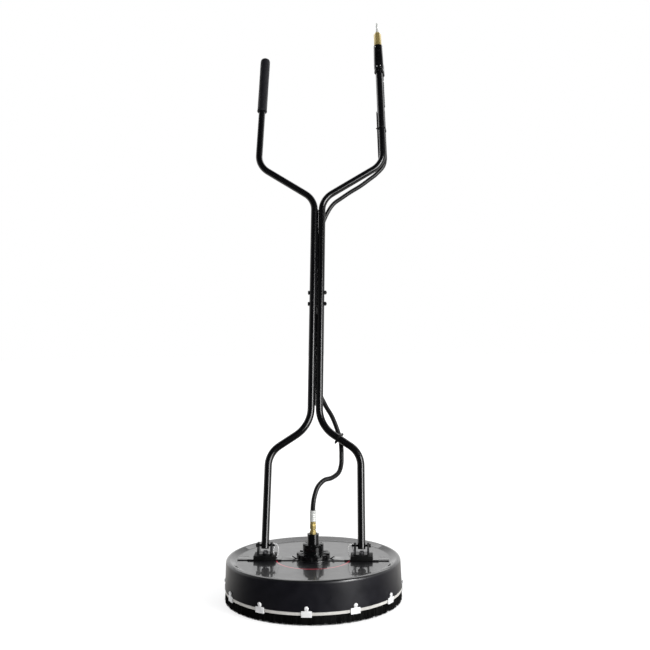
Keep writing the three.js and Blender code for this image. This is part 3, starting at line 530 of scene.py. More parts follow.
stainless = finish("stainless", (0.54, 0.525, 0.495), 0.34, metal=0.2, rub_colour=(0.8, 0.79, 0.77), rub=0.3,
                   grain=420.0, bump=0.12, depth=0.0001, vary=0.10, lines=1400.0)
bright_steel = finish("bright steel", (0.56, 0.57, 0.55), 0.32, metal=0.35, rub_colour=(0.7, 0.7, 0.7),
                      rub=0.3, grain=300.0, bump=0.03, depth=0.0001)
brass = finish("machined brass", (0.36, 0.28, 0.10), 0.34, metal=0.6, rub_colour=(0.66, 0.55, 0.27), rub=0.3,
               grain=300.0, bump=0.12, vary=0.16, lines=1200.0)
block_rubber = finish("block rubber", (0.0022, 0.0022, 0.0024), 0.60, rub_colour=(0.03, 0.03, 0.03), rub=0.15,
                      dust=0.01, grain=600.0, bump=0.25, depth=0.0004, specular=0.15)
hose_rubber = finish("hose rubber", (0.0040, 0.0040, 0.0044), 0.36, grain=700.0, bump=0.12, depth=0.0003,
                     specular=0.35)
lever_plastic = finish("lever plastic", (0.0026, 0.0026, 0.0030), 0.60, grain=600.0, bump=0.10, specular=0.12)
grip_plastic = finish("grip plastic", (0.0065, 0.0062, 0.0082), 0.55, rub_colour=(0.03, 0.03, 0.03), rub=0.15,
                      grain=1100.0, bump=0.35, depth=0.0003, specular=0.2)
bristle_fibre = finish("bristle fibre", (0.0018, 0.0018, 0.0018), 0.55, grain=200.0, bump=0.2, vary=0.35,
                       specular=0.12)
tie_nylon = finish("tie nylon", (0.004, 0.004, 0.004), 0.40, grain=900.0, bump=0.1, specular=0.25)
print("finishes", len(bpy.data.materials))

# %% [markdown]
# The deck's paint
#
# The deck is one spun shell. Its recessed top is a mirror-like black with a thin red arc printed round
# its front half, and its drum is a satin black with a faint cool tint and fine specks. One material holds
# both: the way that a face looks tells the top from the drum, and the distance from the swivel's axis
# draws the arc, so the line stays crisp at any size.

# %% Deck paint with its arc
ARC_RADIUS = 96 * MM
ARC_HALF_WIDTH = 1.7 * MM
ARC_FADE = 4 * MM
ARC_RED = (0.62, 0.035, 0.07)
TOP_BLACK = (0.003, 0.003, 0.004)
DRUM_BLACKS = ((0.0026, 0.0025, 0.0048), (0.0044, 0.0042, 0.0072))
deck_paint, tree = new_material("deck paint")
shader = node(tree, "BsdfPrincipled", {"Coat Roughness": 0.03, "Specular IOR Level": 0.5})
node(tree, "OutputMaterial", {"Surface": shader.outputs[0]})
centred = {"Vector": object_place(tree), "Location": (0, -swivel_axis.y, 0)}
centred = node(tree, "SeparateXYZ", {0: node(tree, "Mapping", centred).outputs[0]})
flat = node(tree, "CombineXYZ", {0: centred.outputs["X"], 1: centred.outputs["Y"]})
distance = node(tree, "VectorMath", {0: flat.outputs[0]}, operation="LENGTH").outputs["Value"]
top = facing_up(tree, 0.25, 0.7)
surface = node(tree, "Group", {"Scale": 700.0}, node_tree=grain_group)
patches = surface.outputs["Patches"]
film = node(tree, "Group", {"Amount": 0.015}, node_tree=dust_group).outputs["Mask"]
off_arc = math_node(tree, "ABSOLUTE", math_node(tree, "SUBTRACT", distance, ARC_RADIUS))
arc = math_node(tree, "MULTIPLY", spread(tree, off_arc, ARC_HALF_WIDTH, ARC_HALF_WIDTH * 0.75), top)
arc = math_node(tree, "MULTIPLY", arc, spread(tree, centred.outputs["Y"], ARC_FADE, -ARC_FADE))
colour = mixed(tree, spread(tree, patches, *PATCH_SPAN), *DRUM_BLACKS)
for mask, over in ((top, TOP_BLACK), (arc, ARC_RED), (film, DUST)):
    colour = mixed(tree, mask, colour, over)
satin = spread(tree, patches, 0.3, 0.7, 0.30, 0.38)
relief = node(tree, "Bump", {"Strength": 0.05, "Distance": 0.0001, "Height": surface.outputs["Height"]})
for key, value in (("Base Color", colour), ("Roughness", satin), ("Coat Weight", top),
                   ("Normal", relief.outputs[0])):
    give(tree, shader.inputs[key], value)
print("deck paint nodes", len(tree.nodes))


# %% Putting a piece on the machine
def fit(piece, body, slot, material, *stands_for):
    """Gives the piece its finish, its body and the solids that it stands for."""
    piece.data.materials.clear()
    piece.data.materials.append(material)
    if stands_for:
        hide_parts(*stands_for)
    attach(piece, body)
    return tell(piece)


def mount(piece, place, width, body, slot, material, *stands_for, angle=30, segments=2):
    """Lays the piece in its place, rounds its edges and fits it."""
    lay_in(piece, place)
    soften(piece, width, angle, segments)
    return fit(piece, body, slot, material, *stands_for)


def mount_copies(model, places, name, *fitting):
    """Puts one copy of the model at each place; in the names, {} stands for its number."""
    body, slot, material, solid = fitting
    for i, place in enumerate(places, start=1):
        twin = linked(name.format(i), model.data.copy())
        lay_in(twin, place)
        fit(twin, body, slot, material, solid.format(i))
    bpy.data.objects.remove(model)


# %% [markdown]
# Deck shell
#
# The real deck is spun or pressed from one sheet: a slightly tapering drum, a tight rounded shoulder, a
# narrow rim and a recessed flat top with a hole for the swivel. A circle that is extruded along that
# outline gives the same even sheet, and a Solidify modifier gives it one thickness all over.

# %% Deck shell
SHELL_SIDES = 192
SHELL_TOP = 106
DECK_RADIUS = 226.1
SHOULDER = 8
PLATEAU = 98.5
SHEET = 2.5


def rounded(centre, radius, first, last, steps):
    """Points of an arc in the outline, as (radius, height) pairs; angles in degrees from outwards."""
    angles = [math.radians(first + (last - first) * i / steps) for i in range(steps + 1)]
    return [(centre[0] + radius * math.cos(a), centre[1] + radius * math.sin(a)) for a in angles]


shoulder_centre = (DECK_RADIUS - SHOULDER, SHELL_TOP - SHOULDER)
shell_outline = [(229.0, 32.3), (228.4, 45), *rounded(shoulder_centre, SHOULDER, 0, 90, 10)]
shell_outline += [(216.6, 105.95), (215.4, 105.7), (214.0, 105.1), (203.0, 99.4), (201.4, 98.8),
                  (199.6, 98.55)]
shell_outline += [(radius, PLATEAU) for radius in (197.5, 150, 95, 60, 26.3)]
deck_shell = wall(turned_ring("deck_shell_spun", shell_outline, SHELL_SIDES, closed=False), SHEET)
mount(deck_shell, deck_frame, 0, "deck", "deck_paint", deck_paint, "deck_shell", angle=35)

# %% [markdown]
# Brush skirt
#
# A pressed steel channel holds the brush to the deck's edge. The brush itself is thousands of stiff
# black fibres in tufts. One fibre is a thin three-sided spike with a slight bend, a tuft is nine of them
# that lean apart, and the skirt is three staggered rows of tufts round a thin core that lets no light
# through. Each tuft gets its own small turn and length from a seeded random, so the lower edge is a
# little ragged, and a few clumps are short.

# %% Skirt channel
channel_outline = [(228.5, 24.9), (228.5, 31.2), (227.7, 32), (219.3, 32), (218.5, 31.2), (218.5, 24.4),
                   (219.9, 24.4), (219.9, 30.6), (227.1, 30.6), (227.1, 24.4), (228.0, 24.4)]
skirt_channel = turned_ring("skirt_channel_pressed", channel_outline, SHELL_SIDES)
mount(skirt_channel, deck_frame, 0, "deck", "bright_steel", stainless, "skirt_channel", angle=40)

# %% One tuft of fibres
FIBRES = 9
FIBRE_TURN = 2.4
FIBRE_ROOT = 0.42
FIBRE_TIP = 0.26
FIBRE_LENGTH = 26.0
FIBRE_BEND = 0.55 * FIBRE_LENGTH


def fibre(lean_x, lean_y, x, y):
    piece = circle("fibre", 3, FIBRE_ROOT, at(x, y, 0))
    for share, drop in ((0.4, FIBRE_BEND), (0.6, FIBRE_LENGTH - FIBRE_BEND)):
        extrude((lean_x * share * MM, lean_y * share * MM, -drop * MM))
    bpy.ops.transform.resize(value=(FIBRE_TIP / FIBRE_ROOT, FIBRE_TIP / FIBRE_ROOT, 1))
    bpy.ops.mesh.edge_face_add()
    return piece


fibres = []
for i in range(FIBRES):
    out_x, out_y = math.cos(i * FIBRE_TURN), math.sin(i * FIBRE_TURN)
    reach = 0.55 * math.sqrt(i)
    lean = 0.5 + 0.35 * i
    fibres.append(fibre(lean * out_x * 0.5, lean * out_y * 0.35, reach * out_x, reach * out_y))
tuft = tidy_mesh(joined("fibre_tuft", *fibres))
print("faces in a tuft", len(tuft.data.polygons))

# %% The skirt of tufts
TUFTS_AROUND = 330
TUFT_ROOT = 25.4
TUFT_LENGTHS = (0.945, 0.976)
ROWS = ((225.9, 0.0, 1.8), (223.0, 0.33, 0.6), (220.6, 0.66, -0.6))  # radius, offset in tufts, splay
SHORT_CLUMPS = (  # from and to, in degrees, and the share of the length that is left
    (-46.5, -45.2, 0.80), (-33, -31, 0.64), (-20.5, -18.8, 0.60), (-9, -7.5, 0.80), (203, 204.6, 0.80),
)
CORE = [(227.6, 4.5), (226.9, 29), (220.4, 29), (219.8, 4.5)]
chance = random.Random(7)
tufts = []
for row_radius, offset, splay in ROWS:
    for i in range(TUFTS_AROUND):
        angle = math.tau * (i + offset) / TUFTS_AROUND
        length = chance.uniform(*TUFT_LENGTHS)
        for low, high, share in SHORT_CLUMPS:
            if low <= math.degrees(angle) <= high or low <= math.degrees(angle) - 360 <= high:
                length *= share
        one = linked("tuft", tuft.data.copy())
        one.matrix_world = (
            about_z(angle)
            @ at(row_radius, 0, TUFT_ROOT)
            @ Matrix.Rotation(-math.radians(splay + chance.uniform(-1.2, 1.2)), 4, "Y")
            @ about_z(chance.uniform(0, math.tau))
            @ Matrix.Diagonal((1, 1, length, 1))
        )
        tufts.append(one)
bpy.data.objects.remove(tuft)
bristle_skirt = joined("bristle_skirt", turned_ring("bristle_core", CORE, SHELL_SIDES), *tufts)
take(bristle_skirt)
settle()
mount(bristle_skirt, deck_frame, 0, "deck", "bristles", bristle_fibre, "skirt_bristles", angle=50)

# %% [markdown]
# Skirt clips
#
# Twelve stamped steel clips hook under the channel and are screwed to the drum. Each is a small plate
# with a tab on top and a lip below, cut from one block: bisect lines mark where the tab and the lip
# begin, and those faces are extruded. The domed screw has a cross recess. One clip is made on the +X
# side, and twelve copies are turned to their places.

# %% Cutting lines and extruding the faces between them
def scribe(piece, point, normal):
    """Cuts a line round the piece where a plane meets it."""
    edit_all(piece)
    bpy.ops.mesh.bisect(plane_co=[value * MM for value in point], plane_no=normal)
    leave_edit()


def push(piece, test, move):
    """Moves out the faces whose middle, in millimetres, and normal pass the test."""
    take(piece)
    bpy.ops.object.mode_set(mode="EDIT")
    bpy.ops.mesh.select_mode(type="FACE")
    bpy.ops.mesh.select_all(action="DESELECT")
    leave_edit()
    for face in piece.data.polygons:
        face.select = bool(test(face.center / MM, face.normal))
    bpy.ops.object.mode_set(mode="EDIT")
    extrude([value * MM for value in move])
    leave_edit()


# %% Twelve clips with their screws
SKIRT_CLIPS = 12
CLIP_BACK = 229.3
CLIP_FRONT = 230.8
CLIP_HALF = 12.75
TAB_HALF = 4.5
LIP = (22.6, 24.1)
SCREW_HEIGHT = 42

clip = block("clip_plate", (CLIP_BACK, -CLIP_HALF, 20.7), (CLIP_FRONT, CLIP_HALF, 35.7))
for y in (-TAB_HALF, TAB_HALF):
    scribe(clip, (0, y, 0), (0, 1, 0))
for z in LIP:
    scribe(clip, (0, 0, z), (0, 0, 1))
push(clip, lambda middle, normal: normal.z > 0.9 and abs(middle.y) < TAB_HALF, (0, 0, 8.3))
push(clip, lambda middle, normal: normal.x < -0.9 and LIP[0] < middle.z < LIP[1], (-2.2, 0, 0))
soften(clip, 0.35)
screw = turned("clip_screw", [(5.3, 0), (5.3, 0.7), (4.9, 1.5), (4.0, 2.3), (2.8, 2.9), (1.3, 3.2)], 32)
for turn in (0, math.pi / 2):
    carve(screw, lay_in(block("slot_tool", (-2.6, -0.5, 2.0), (2.6, 0.5, 4)), about_z(turn)))
shank = turned("clip_shank", [(2.4, 0), (3, 0.6), (3, 13.4)], 24)
clip_nut = hexagon("clip_nut", 10, 0, 5)
for solid, x in ((screw, CLIP_FRONT), (shank, CLIP_FRONT - 13.2), (clip_nut, 219.6)):
    lay_in(solid, at(x, 0, SCREW_HEIGHT) @ ALONG_X)
soften(screw, 0.08, angle=40)
soften(clip_nut, 0.2)
clip = joined("clip_model", clip, screw, shank, clip_nut)
clip_places = [deck_frame @ about_z(math.tau * i / SKIRT_CLIPS - math.pi / 2) for i in range(SKIRT_CLIPS)]
mount_copies(clip, clip_places, "stamped_clip_{:02d}", "deck", "plain_steel", zinc_steel, "skirt_clip_{:02d}")

# %% [markdown]
# Brackets on the deck
#
# A flat cross bar, two rubber blocks and two U brackets are bolted down on the deck. Their solids in the
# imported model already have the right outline, cut straight. A copy of each is merged, its flat faces are
# joined up, and a small bevel rounds every edge, because edges that catch no light look drawn.

# %% Cross bar, rubber blocks and U brackets
def refined(node_name, name, width, segments=2):
    piece = linked(name, frame["nodes"][node_name].data.copy())
    edit_all(piece)
    bpy.ops.mesh.remove_doubles(threshold=1e-5)
    bpy.ops.mesh.dissolve_limited(angle_limit=math.radians(1))
    leave_edit()
    return soften(piece, width, segments=segments)


fit(refined("mounting_frame", "cross_bar", 0.4), "deck", "black_steel", bar_gloss, "mounting_frame")
for side in ("left", "right"):
    rubber = refined(f"isolator_{side}", f"rubber_block_{side}", 1.2, segments=3)
    fit(rubber, "deck", "black_rubber", block_rubber, f"isolator_{side}")
    bracket = refined(f"clevis_{side}", f"u_bracket_{side}", 0.5)
    fit(bracket, "deck", "black_steel", bracket_black, f"clevis_{side}")

# %% [markdown]
# Pivot pins
#
# Each leg of the handle turns on a pin through the bracket's ears. The pin's head is on the outer side,
# and a spring wire clip through its inner end keeps it in. The pin is turned, and the wire clip is a thin
# round wire along a closed oval, with a straight leg through the pin.

# %% Pins and their wire clips
SIDES = (("left", -1), ("right", 1))
PIVOT_HALF = 125.8
PIVOT_HEIGHT = 134.4
PIN_TIP = -26.1
OVAL_STEPS = 40
LEG_PLACE = PIN_TIP + 2.4
for side, sign in SIDES:
    pivot = deck_frame @ at(sign * PIVOT_HALF, 0, PIVOT_HEIGHT)
    outline = [(2.0, PIN_TIP), (3, PIN_TIP + 1.2), (3, 19.8), (5, 19.8), (5, 22.6), (4, 23.8)]
    pin = turned(f"hinge_pin_{side}", outline, 40)
    mount(pin, pivot @ toward((sign, 0, 0)), 0.15, "deck", "black_steel", bracket_black, f"pivot_pin_{side}")
    angles = [math.tau * i / OVAL_STEPS for i in range(OVAL_STEPS)]
    oval = [(PIN_TIP - 2.3 + 6.5 * math.cos(a), 0, -13.5 + 16.5 * math.sin(a)) for a in angles]
    wire = cable(f"wire_clip_{side}", 0.9, oval, closed=True)
    leg = cable(f"wire_leg_{side}", 1.1, [(LEG_PLACE, 0, z) for z in (6, 0, -7)])
    wire = joined(f"wire_clip_{side}", wire, leg)
    lay_in(wire, pivot @ Matrix.Diagonal((sign, 1, 1, 1)))
    soften(tidy_mesh(wire), angle=50)
    fit(wire, "deck", "bright_steel", zinc_steel)

# %% [markdown]
# Swivel
#
# The swivel is a cast and machined body in three steps. Its wide flange has eight notches, so that the
# bolts sit between raised lugs, and its cap has six smaller ones. The body is turned first, then a Boolean
# takes each notch out, and a bevel last of all rounds the lugs.

# %% Swivel body and cap
SWIVEL_SIDES = 96


def notched(piece, count, width, inner, outer, low, high):
    """Cuts notches all round, from the inner to the outer radius."""
    tools = []
    for i in range(count):
        tool = block("notch_tool", (inner, -width / 2, low), (outer, width / 2, high))
        tools.append(lay_in(tool, about_z((i + 0.5) * math.tau / count)))
    return carve(piece, joined("notch_tool", *tools))


body_outline = [(17.8, 70), (26, 70), (26, 102.6), (43.5, 102.6), (43.5, 115.6), (27, 115.6), (27, 122),
                (12.5, 122), (12.5, 113), (17.8, 113)]
swivel_body = notched(turned_ring("swivel_body", body_outline, SWIVEL_SIDES), 8, 13.05, 28, 46, 111.9, 117)
mount(swivel_body, deck_frame, 0.6, "deck", "black_casting", casting_gloss, "swivel_housing", segments=3)
cap_outline = [(11.5, 122.3), (27, 122.3), (27, 139.2), (15.1, 139.2), (15.1, 165.2), (10.1, 165.2),
               (10.1, 162.2), (7.0, 162.2), (7.0, 150), (3, 150), (3, 135.2), (11.5, 135.2)]
swivel_top = notched(turned_ring("swivel_top", cap_outline, SWIVEL_SIDES), 6, 7, 19.2, 30, 135.7, 141)
mount(swivel_top, deck_frame, 0.5, "deck", "black_casting", casting_gloss, "swivel_cap", segments=3)

# %% [markdown]
# Bolts
#
# Hexagon heads, washers, threaded ends and nuts come in two lengths. A head is a six-sided turning whose
# corners are turned back, which is how the real ones get their round chamfer.

# %% Bolts through the deck
BOLT_FLATS = 10
DECK_UNDERSIDE = 95.7
FLANGE_SEAT = 112.2
BRACKET_SEAT = 115.1
BOLT_CIRCLE = 36
BRACKET_BOLT_REACH = 8


def bolt(name, head, nut, rod, *washers):
    """A bolt from the heights of its head and nut, and the outline of its rod."""
    ends = [soften(hexagon("bolt_end", BOLT_FLATS, *span), 0.25) for span in (head, nut)]
    return joined(name, *ends, soften(turned("rod", rod, 24)), *washers)


def deck_bolt(name, seat, under=DECK_UNDERSIDE):
    washer = turned("washer", [(6.2, seat), (6.4, seat + 0.2), (6.4, seat + 0.8), (6.2, seat + 1)], 40)
    rod = [(2.4, under - 7), (3, under - 6.4), (3, seat + 1.5)]
    return bolt(name, (seat + 1, seat + 4), (under - 5, under), rod, soften(washer))


turns = [math.pi / 8 + i * math.pi / 2 for i in range(4)]
places = [deck_frame @ at(BOLT_CIRCLE * math.cos(turn), BOLT_CIRCLE * math.sin(turn), 0) for turn in turns]
mount_copies(deck_bolt("flange_bolt", FLANGE_SEAT), places, "flange_bolt_{}",
             "deck", "black_steel", bracket_black, "swivel_bolt_{}")
places = [deck_frame @ at(x, y, 0) for x in (-PIVOT_HALF, PIVOT_HALF)
          for y in (-BRACKET_BOLT_REACH, BRACKET_BOLT_REACH)]
mount_copies(deck_bolt("block_bolt", BRACKET_SEAT), places, "block_bolt_{}",
             "deck", "plain_steel", dull_steel, "bracket_bolt_{}")

# %% [markdown]
# Water inlet on the swivel
#
# A brass nipple with a hexagon screws into the swivel, a brass swivel nut closes on it, and a crimped
# steel ferrule holds the end of the hose. The crimp leaves shallow rings round the ferrule.

# %% Nipple, nut and ferrule
HOSE_END = 225.7
nipple_stem = [(5.6, 153), (6.7, 154), (6.7, 172.5), (6.9, 174), (6.2, 176), (5.4, 178), (5.2, 181)]
nipple = stemmed("inlet_nipple_turned", 16, 162.5, 172.5, 1.1, nipple_stem, 48, 0.1)
collar = [(7.0, 177), (7.8, 178), (7.8, 179.5), (7.0, 180.5), (6.8, 190), (7.4, 191), (7.4, 195.4),
          (6.6, 196.6)]
union_nut = stemmed("union_nut", 15, 179, 190.5, 1.0, collar, 48, 0.15)
for piece, solid in ((nipple, "inlet_nipple"), (union_nut, "hose_nut")):
    fit(lay_in(piece, deck_frame), "deck", "brass", brass, solid)


def ferrule(name, low, high, crimps, radius=8.0, inner=6.35, depth=0.3):
    """A sleeve with rings pressed into it, open at its upper end for the hose."""
    outline = [(5.5, low), (radius - 0.7, low), (radius, low + 0.8)]
    pitch = (high - low - 9) / crimps
    for i in range(crimps):
        foot = low + 4 + i * pitch
        end = foot + pitch * 0.55
        outline += [(radius, foot), (radius - depth, foot + 0.7), (radius - depth, end), (radius, end + 0.7)]
    outline += [(radius, high - 2.2), (radius + 0.05, high - 0.8), (radius - 0.4, high), (inner, high),
                (inner, high - 6)]
    return turned(name, outline, 48)


hose_sleeve = ferrule("hose_sleeve", 196.9, HOSE_END, crimps=4)
mount(hose_sleeve, deck_frame, 0.15, "deck", "bright_steel", bright_steel, "hose_ferrule")

# %% [markdown]
# Handle tubes
#
# The handle is four bent steel tubes: a fork below, a closely set pair in the middle and two arms above.
# Each is one circle pushed along its straight runs and spun through its bends, then given its wall. The
# lower tubes carry a narrower sleeve that goes up into the upper ones. Two bolts clamp the joint, and a
# thin web beside each left tube closes the gap of its pair.

# %% Tubes, sleeves and webs
TUBE = 10
TUBE_WALL = 1.5
PAIR_HALF = 11.3
SPLICE = 688
FORK_CORNER = (124, 243)
FORK_TOP = 318.5
ARM_ROOT = 1000.5
ARM_TOPS = {-1: 1484, 1: 1446}


def handle_tube(name, sign, corners, bends, extras, web, solid):
    """A bent tube of the handle with what is welded to it; the left ones have a web."""
    tube = wall(bent_tube(name, TUBE, corners, bends), TUBE_WALL)
    if sign < 0:
        extras = [*extras, soften(block("web", (-2.3, -4, web[0]), (1.0, 4, web[1])), 0.6)]
    tube = joined(name, tube, *extras)
    mount(tube, handle_frame, 0, "handle", "tube_paint", tube_gloss, solid, angle=40)


for side, sign in SIDES:
    pair = sign * PAIR_HALF
    sleeve = turned("sleeve", [(7.6, -12), (8.2, -11), (8.2, 39), (7.4, 40)], 32)
    lay_in(sleeve, at(pair, 0, SPLICE))
    corners = [(sign * PIVOT_HALF, 0, -8.6), (sign * FORK_CORNER[0], 0, FORK_CORNER[1]), (pair, 0, FORK_TOP),
               (pair, 0, SPLICE - 0.3)]
    handle_tube(f"fork_tube_{side}", sign, corners, [65, 90], [sleeve], (374, 640), f"lower_{side}_tube")
    foot_half, top_half = ARM_WIDTHS[sign]
    end_half = foot_half + (top_half - foot_half) * (ARM_TOPS[sign] - ARM_HEIGHT) / ARM_RUN
    corners = [(pair, 0, SPLICE), (pair, 0, ARM_ROOT), (sign * foot_half, 0, ARM_HEIGHT),
               (sign * end_half, 0, ARM_TOPS[sign])]
    handle_tube(f"arm_tube_{side}", sign, corners, [62, 65], [], (660, 966), f"upper_{side}_tube")

# %% Bolts across the pair
SPLICE_BOLT_REACH = 17
for level, height in (("lower", SPLICE - SPLICE_BOLT_REACH), ("upper", SPLICE + SPLICE_BOLT_REACH)):
    washers = [soften(turned("washer", [(6.1, z), (6.1, z + 0.6)], 32), 0.1) for z in (-22.2, 21.6)]
    rod = [(3, -23), (3, 27.6), (2.4, 28.1)]
    cross_bolt = bolt(f"cross_bolt_{level}", (-25.6, -22.2), (22.2, 26.6), rod, *washers)
    lay_in(cross_bolt, handle_frame @ at(0, 0, height) @ ALONG_X)
    fit(cross_bolt, "handle", "black_steel", bracket_black, f"splice_bolt_{level}")

# %% [markdown]
# Left hand grip
#
# A closed-ended grip of dark soft plastic is pushed over the left tube. It is turned with a slight bead at
# its mouth and a domed end, and its grain comes from a fine bump.

# %% Grip
grip_outline = [(10.5, 187), (14.0, 187), (15.0, 188), (15.0, 191), (14.6, 192.2), (14.6, 300), (14.8, 335),
                (14.8, 361), (14.6, 366), (14.0, 369.6), (12.8, 372.4), (10.6, 374.2), (7.5, 374.9), (3, 375),
                (1, 375)]
mount(turned("hand_grip", grip_outline), left_arm, 0,
      "handle", "grip_plastic", grip_plastic, "left_grip", angle=60)

# %% [markdown]
# Valve and trigger
#
# The right arm ends in a round valve body. Behind it are a port for the hose and two ears for the
# trigger, and on top is the brass adapter with the steel plug that a quick coupling snaps on to. The
# body is turned, and its port and ears are blocks and turnings that run into it, as on the casting.

# %% Valve body
VALVE_FOOT = 317
VALVE_TOP = 415
VALVE_RADIUS = 15
PORT = (6.1, 17.5)
NECK = -7.9
SMALL_SCREWS = ((333, -0.45), (334, 0.32), (405, -0.6))  # height, and angle from the front
port_place = at(*PORT, 0)


def on_valve(*steps):
    """Outline points whose heights are given above the valve's foot."""
    return [(radius, VALVE_FOOT + rise) for radius, rise in steps]


barrel_outline = on_valve((10.4, 0), (14.4, 0), (15, 0.6), (15, 9), (14.6, 9.4), (14.6, 10.6), (15, 11))
barrel_outline += [(VALVE_RADIUS, 411.5), (11.4, VALVE_TOP), (8, VALVE_TOP), (8, 411)]
barrel = soften(turned("barrel", barrel_outline), 0.3)
port_outline = on_valve((7.2, 0), (10.6, 0), (11, 0.5), (11, 36), (8, 40), (2, 40))
port = soften(lay_in(turned("port", port_outline, 48), port_place), 0.3)
saddle = soften(block("saddle", (0.6, 8, VALVE_FOOT + 0.4), (10.6, PORT[1], 356)), 1.0, segments=3)
ears = [block("ear", (NECK + x0, 8, 352), (NECK + x1, 26.5, 368)) for x0, x1 in ((-6.1, -3.1), (3.1, 6.1))]
for ear in ears:
    soften(ear, 1.4, segments=3)
screws = []
for z, turn in SMALL_SCREWS:
    small = turned("screw", [(1.5, 0), (1.5, 0.6), (1.1, 1.0), (0.5, 1.1)], 24)
    outward = Vector((math.sin(turn), -math.cos(turn), 0))
    lay_in(small, at(outward.x * 14.7, outward.y * 14.7, z) @ toward(outward))
    screws.append(soften(small, 0.1))
valve_body = lay_in(joined("valve_body", barrel, port, saddle, *ears), right_arm)
fit(valve_body, "handle", "black_casting", casting_gloss, "valve_housing")
valve_screws = lay_in(joined("valve_screws", *screws), right_arm)
fit(valve_screws, "handle", "bright_steel", bright_steel)

# %% Adapter and plug
ADAPTER = 415.3
ADAPTER_TURN = math.radians(30)
adapter_outline = [(10, 0), (11.2, 0.8), (11.83, 2.6), (11.83, 42), (8.6, 47.4), (7.8, 48)]
stem_outline = [(6.0, -13), (6.7, -12), (6.7, 2)]
adapter = lay_in(turned("adapter", adapter_outline, 6), at(0, 0, ADAPTER) @ about_z(ADAPTER_TURN))
soften(adapter, 0.5, angle=20, segments=3)
adapter_stem = soften(lay_in(turned("adapter_stem", stem_outline, 40), at(0, 0, ADAPTER)))
adapter = lay_in(joined("brass_adapter", adapter, adapter_stem), right_arm)
fit(adapter, "handle", "brass", brass, "inlet_adapter")

PLUG = 463.6
plug_outline = [(5.0, -6), (5.0, 0), (6.5, 0), (6.5, 3), (6.3, 4), (4.4, 13.6), (3.5, 15), (3.4, 16),
                (3.4, 18), (3.7, 19), (4.2, 20), (4.2, 32.5), (3.5, 35), (2.2, 35), (2.0, 28), (1.8, 4)]
mount(turned("coupling_plug", plug_outline, 48), right_arm @ at(0, 0, PLUG), 0.12,
      "handle", "bright_steel", bright_steel, "quick_plug")

# %% Hose fitting below the valve
fitting_stem = on_valve((6.0, -26), (6.0, -15), (6.3, -14), (6.3, 11))
upside_down = Matrix.Rotation(math.pi, 4, "X")
fitting = stemmed("top_fitting", 15, VALVE_FOOT - 16, VALVE_FOOT - 0.3, 1.0, fitting_stem, 40, 0)
sleeve = soften(lay_in(ferrule("fitting_sleeve", -293, -205, crimps=9), upside_down), 0.15)
fitting = joined("top_fitting", fitting, sleeve)
fit(lay_in(fitting, right_arm @ port_place), "handle", "plain_steel", bracket_black, "hose_fitting_top")

# %% Trigger, its pin and the valve stem
HINGE = (21, 360)
STEM_DROP = 20
lever = refined("trigger_lever", "trigger_lever_moulded", 0.8, segments=3)
fit(lever, "trigger", "grip_plastic", lever_plastic, "trigger_lever")
pin_outline = [(2.0, NECK - 7.1), (2.5, NECK - 6.6), (2.5, NECK + 5.6), (2.0, NECK + 6.1)]
mount(turned("trigger_hinge_pin", pin_outline, 32), right_arm @ at(0, *HINGE) @ ALONG_X, 0,
      "handle", "plain_steel", zinc_steel, "trigger_pin")
stem = turned("push_stem", [(2.2, 4.6), (2.2, 17.0), (2.0, 18.6), (1.4, 19.3)], 32)
mount(stem, right_arm @ at(NECK, 0, HINGE[1] - STEM_DROP) @ ALONG_Y, 0,
      "stem", "bright_steel", bright_steel, "valve_stem")

# %% [markdown]
# Water hose
#
# The hose is a held hose, not a loose one: it is fixed in a fitting at each end and tied to the tubes
# between. It follows the same points as its solids, from the fitting below the valve, down the right arm
# and behind the pair, and over in a free bend to the ferrule on the swivel. On the real machine the free
# bend is the only part that flexes when the handle tilts. The hose here is one mesh from the deck
# to the handle.

# %% Hose route
HOSE = 6.25
STRAIGHT_ON = (0.3, 12.5)


def in_row(matrix, points):
    return [matrix @ (Vector(point) * MM) / MM for point in points]


ARM_STEPS = (224.7, 165, 95, 55)
CORNER_STEPS = ((1.5, 4), (-21, -25.5), (-44, -45), (-69, -65), (-98, -84), (-124, -103), (-148, -122))
PAIR_STEPS = ((27, 0.95), (10, 0.88), (4, 0.78), (3, 0.56), (3, 0.35), (4, 0.17), (26, 0.09))
FORK_STEPS = ((44, 30.5), (54, 7.5), (64, -20.5))
FREE_STEPS = ((71, 107, 371), (71.5, 100, 352), (71, 88, 331), (64.5, 70, 312), (47, 49, 301.5),
              (28.5, 33, 298.5), (12.5, 16, 284), (4.5, 6, 262), (1, 1, 242), (0, 0, HOSE_END), (0, 0, 206))
arm_points = [(*PORT, z) for z in ARM_STEPS]
handle_points = [(ARM_WIDTHS[1][0] + x, PORT[1], ARM_HEIGHT + z) for x, z in CORNER_STEPS]
handle_points += [(x, PORT[1], FORK_TOP + (ARM_ROOT - FORK_TOP) * share) for x, share in PAIR_STEPS]
handle_points += [(x, PORT[1], FORK_TOP + z) for x, z in FORK_STEPS]
upper_route = smooth_route(in_row(right_arm, arm_points) + in_row(handle_frame, handle_points))
tie_point = upper_route[-1]
tie_heading = (upper_route[-1] - upper_route[-2]).normalized()
onward = [tie_point + tie_heading * step for step in STRAIGHT_ON]
lower_route = smooth_route(onward + in_row(deck_frame, FREE_STEPS))
hose_route = upper_route[:-1] + lower_route


def route_length(route):
    return round(sum((b - a).length for a, b in zip(route, route[1:])))


print("hose length mm", route_length(hose_route), "free part", route_length(lower_route))

# %% Hose
hose = soften(cable("water_hose", HOSE, hose_route, sides=24), angle=60)
hose.data.materials.append(hose_rubber)
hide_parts("hose_upper", "hose_lower")
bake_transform(hose)
tell(hose)

# %% [markdown]
# Cable ties
#
# Black nylon ties hold the hose to the tubes. A tie is a flat band pulled tight round two round things, so
# its line is an arc round each and a straight run between. The band is that line given a width and a
# thickness, with a small square head and the cut end of its tail.

